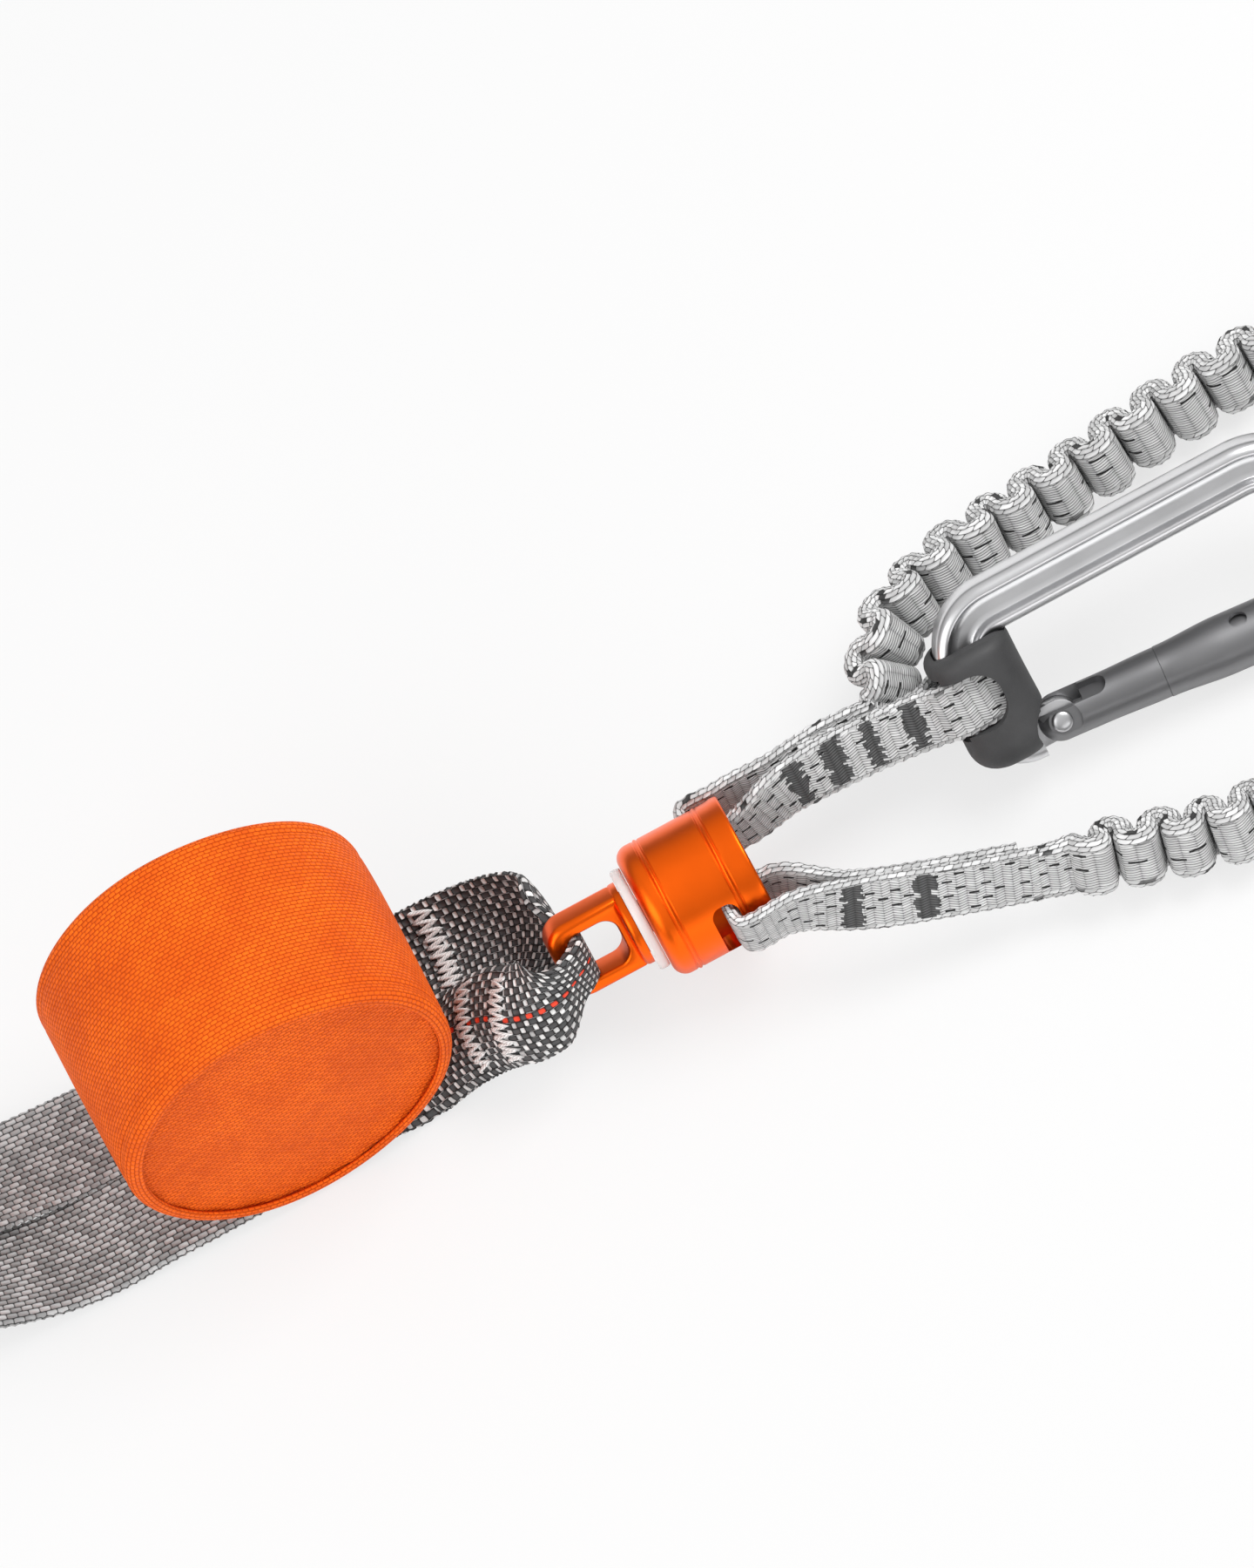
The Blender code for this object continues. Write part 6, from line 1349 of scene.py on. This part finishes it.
cut(keeper, slab(round_box(-0.045, -0.0052, 0.0066, 0.0226, 0.0012, 3), -0.0078, 0.0078), clip_place)
cut(keeper, slab(round_box(-0.045, -0.0085, 0.0076, 0.0212, 0.0058, 10), 0.0020, 0.0200), clip_place)
soften(keeper, 35)

# %% [markdown]
# ## Arm connectors
# The two large connectors keep their solid frames. Their gates are turned smooth, with the same forked end. For
# each elastic arm the pieces at its end are gathered and points along its route are taken, and its length is printed.

# %%
palm_radius, palm_end = 0.0062, 0.0850
palm_profile = ball_end(palm_radius) + [(palm_radius, palm_end - gate_round)] + gate_tip(palm_radius, palm_end)
for side, y in (("upper", -0.0310), ("lower", -0.1190)):
    palm_flat = place_at(0.2730, y, 0.0118) @ turn(-7.0, "Z")
    palm_axis = palm_flat @ turn(90, "Y")
    palm_gate = finish_mesh(side + "_palm_gate_bar", turned(palm_profile, 96), palm_axis, side + "_connector_gate",
                            silver_metal, side + "_connector_gate")
    open_fork(palm_gate, palm_flat, 0.0050)
    cut(palm_gate, turned(spring_bore, 32), palm_axis)
    soften(palm_gate, 30)
    ends = [node for name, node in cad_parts.items()
            if name.startswith(side + "_connector_") and name != side + "_connector_gate"]
    ends += [palm_gate, end_straps[side]]
    route = upper_bellows_route if side == "upper" else lower_bellows_route
    path = route.frames(np.linspace(0.0008, route.length - 0.0008, 60))[0]
    print(side, "arm is a cord of", round(route.length, 4), "m with", len(ends), "pieces at its end")


# %% [markdown]
# ## Floor, light and finish
# The photograph is a studio shot on plain grey white. The floor mixes that colour as light of its own, seen by the
# camera only, with a lit surface, so it keeps a trace of the object's shadow. The sky is brighter overhead than at
# the horizon, which gives the metals something to mirror.

# %%
background = (0.896, 0.896, 0.896)
floor_mesh = bpy.data.meshes.new("floor")
floor_mesh.from_pydata([(-3, -3, 0), (3, -3, 0), (3, 3, 0), (-3, 3, 0)], [], [(0, 1, 2, 3)])
floor = bpy.data.objects.new("floor", floor_mesh)
scene.collection.objects.link(floor)
floor.location.z = -0.0004
shade = Shade("studio_floor", background, 0.9)
output = next(node for node in shade.tree.nodes if node.type == "OUTPUT_MATERIAL")
glow = shade.node("ShaderNodeEmission", {"Color": (*background, 1), "Strength": 1.0})
seen = shade.node("ShaderNodeLightPath", {}, out="Is Camera Ray") * 0.80
mixed = shade.node("ShaderNodeMixShader", {0: seen, 1: Wire(shade, shade.surface.outputs[0]), 2: glow})
shade.put(output.inputs["Surface"], mixed)
floor_mesh.materials.append(shade.material)

world = bpy.data.worlds.new("studio")
scene.world = world
world.use_nodes = True
tree = world.node_tree
direction = tree.nodes.new("ShaderNodeSeparateXYZ")
tree.links.new(tree.nodes.new("ShaderNodeTexCoord").outputs["Generated"], direction.inputs[0])
sky = tree.nodes.new("ShaderNodeMapRange")
sky.interpolation_type = "SMOOTHSTEP"
for socket, value in (("From Min", 0.05), ("From Max", 0.75), ("To Min", 0.22), ("To Max", 0.80)):
    sky.inputs[socket].default_value = value
tree.links.new(direction.outputs["Z"], sky.inputs["Value"])
tree.links.new(sky.outputs["Result"], tree.nodes["Background"].inputs["Strength"])
tree.nodes["Background"].inputs["Color"].default_value = (1, 1, 1, 1)


def soft_light(name, place, size, power):
    """A square lamp at a place counted from the swivel, turned to it."""
    lamp = bpy.data.lights.new(name, "AREA")
    lamp.size, lamp.energy = size, power
    obj = bpy.data.objects.new(name, lamp)
    scene.collection.objects.link(obj)
    spot = washer + right * place[0] + up * place[1] + back * place[2]
    obj.location = spot
    obj.rotation_euler = (washer - spot).to_track_quat("-Z", "Y").to_euler()


soft_light("key", (0.35, 0.75, 0.75), 0.6, 9.0)
soft_light("fill", (-0.6, -0.35, 0.7), 0.8, 5.0)
soft_light("rim", (0.5, -0.5, 0.35), 0.5, 1.6)

# %% [markdown]
# ## Kept solids
# The solids whose shape is already right keep it, and get their finish here.

# %%
finishes = (
    (("_keeper",), black_rubber), (("_palm_lever",), lever_plastic), (("_gate_pusher",), pusher_plastic),
    (("_spring",), spring_metal), (("_rivet", "lock_pin"), steel_metal), (("retaining_nut",), nut_metal),
    (("outer_washer", "thrust_washer"), washer_plastic), (("rest_carabiner_gate", "sleeve"), dark_metal),
    (("swivel_body", "swivel_eye"), orange_metal), (("_frame", "_gate"), silver_metal),
    (("tear_webbing_pack",), swivel_loop_cloth),
)
finished = 0
for node_name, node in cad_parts.items():
    for words, material in finishes:
        if any(word in node_name for word in words):
            for slot in node.material_slots:
                slot.material = material
            finished += 1
            break
print(finished, "of", len(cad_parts), "nodes have a finish")
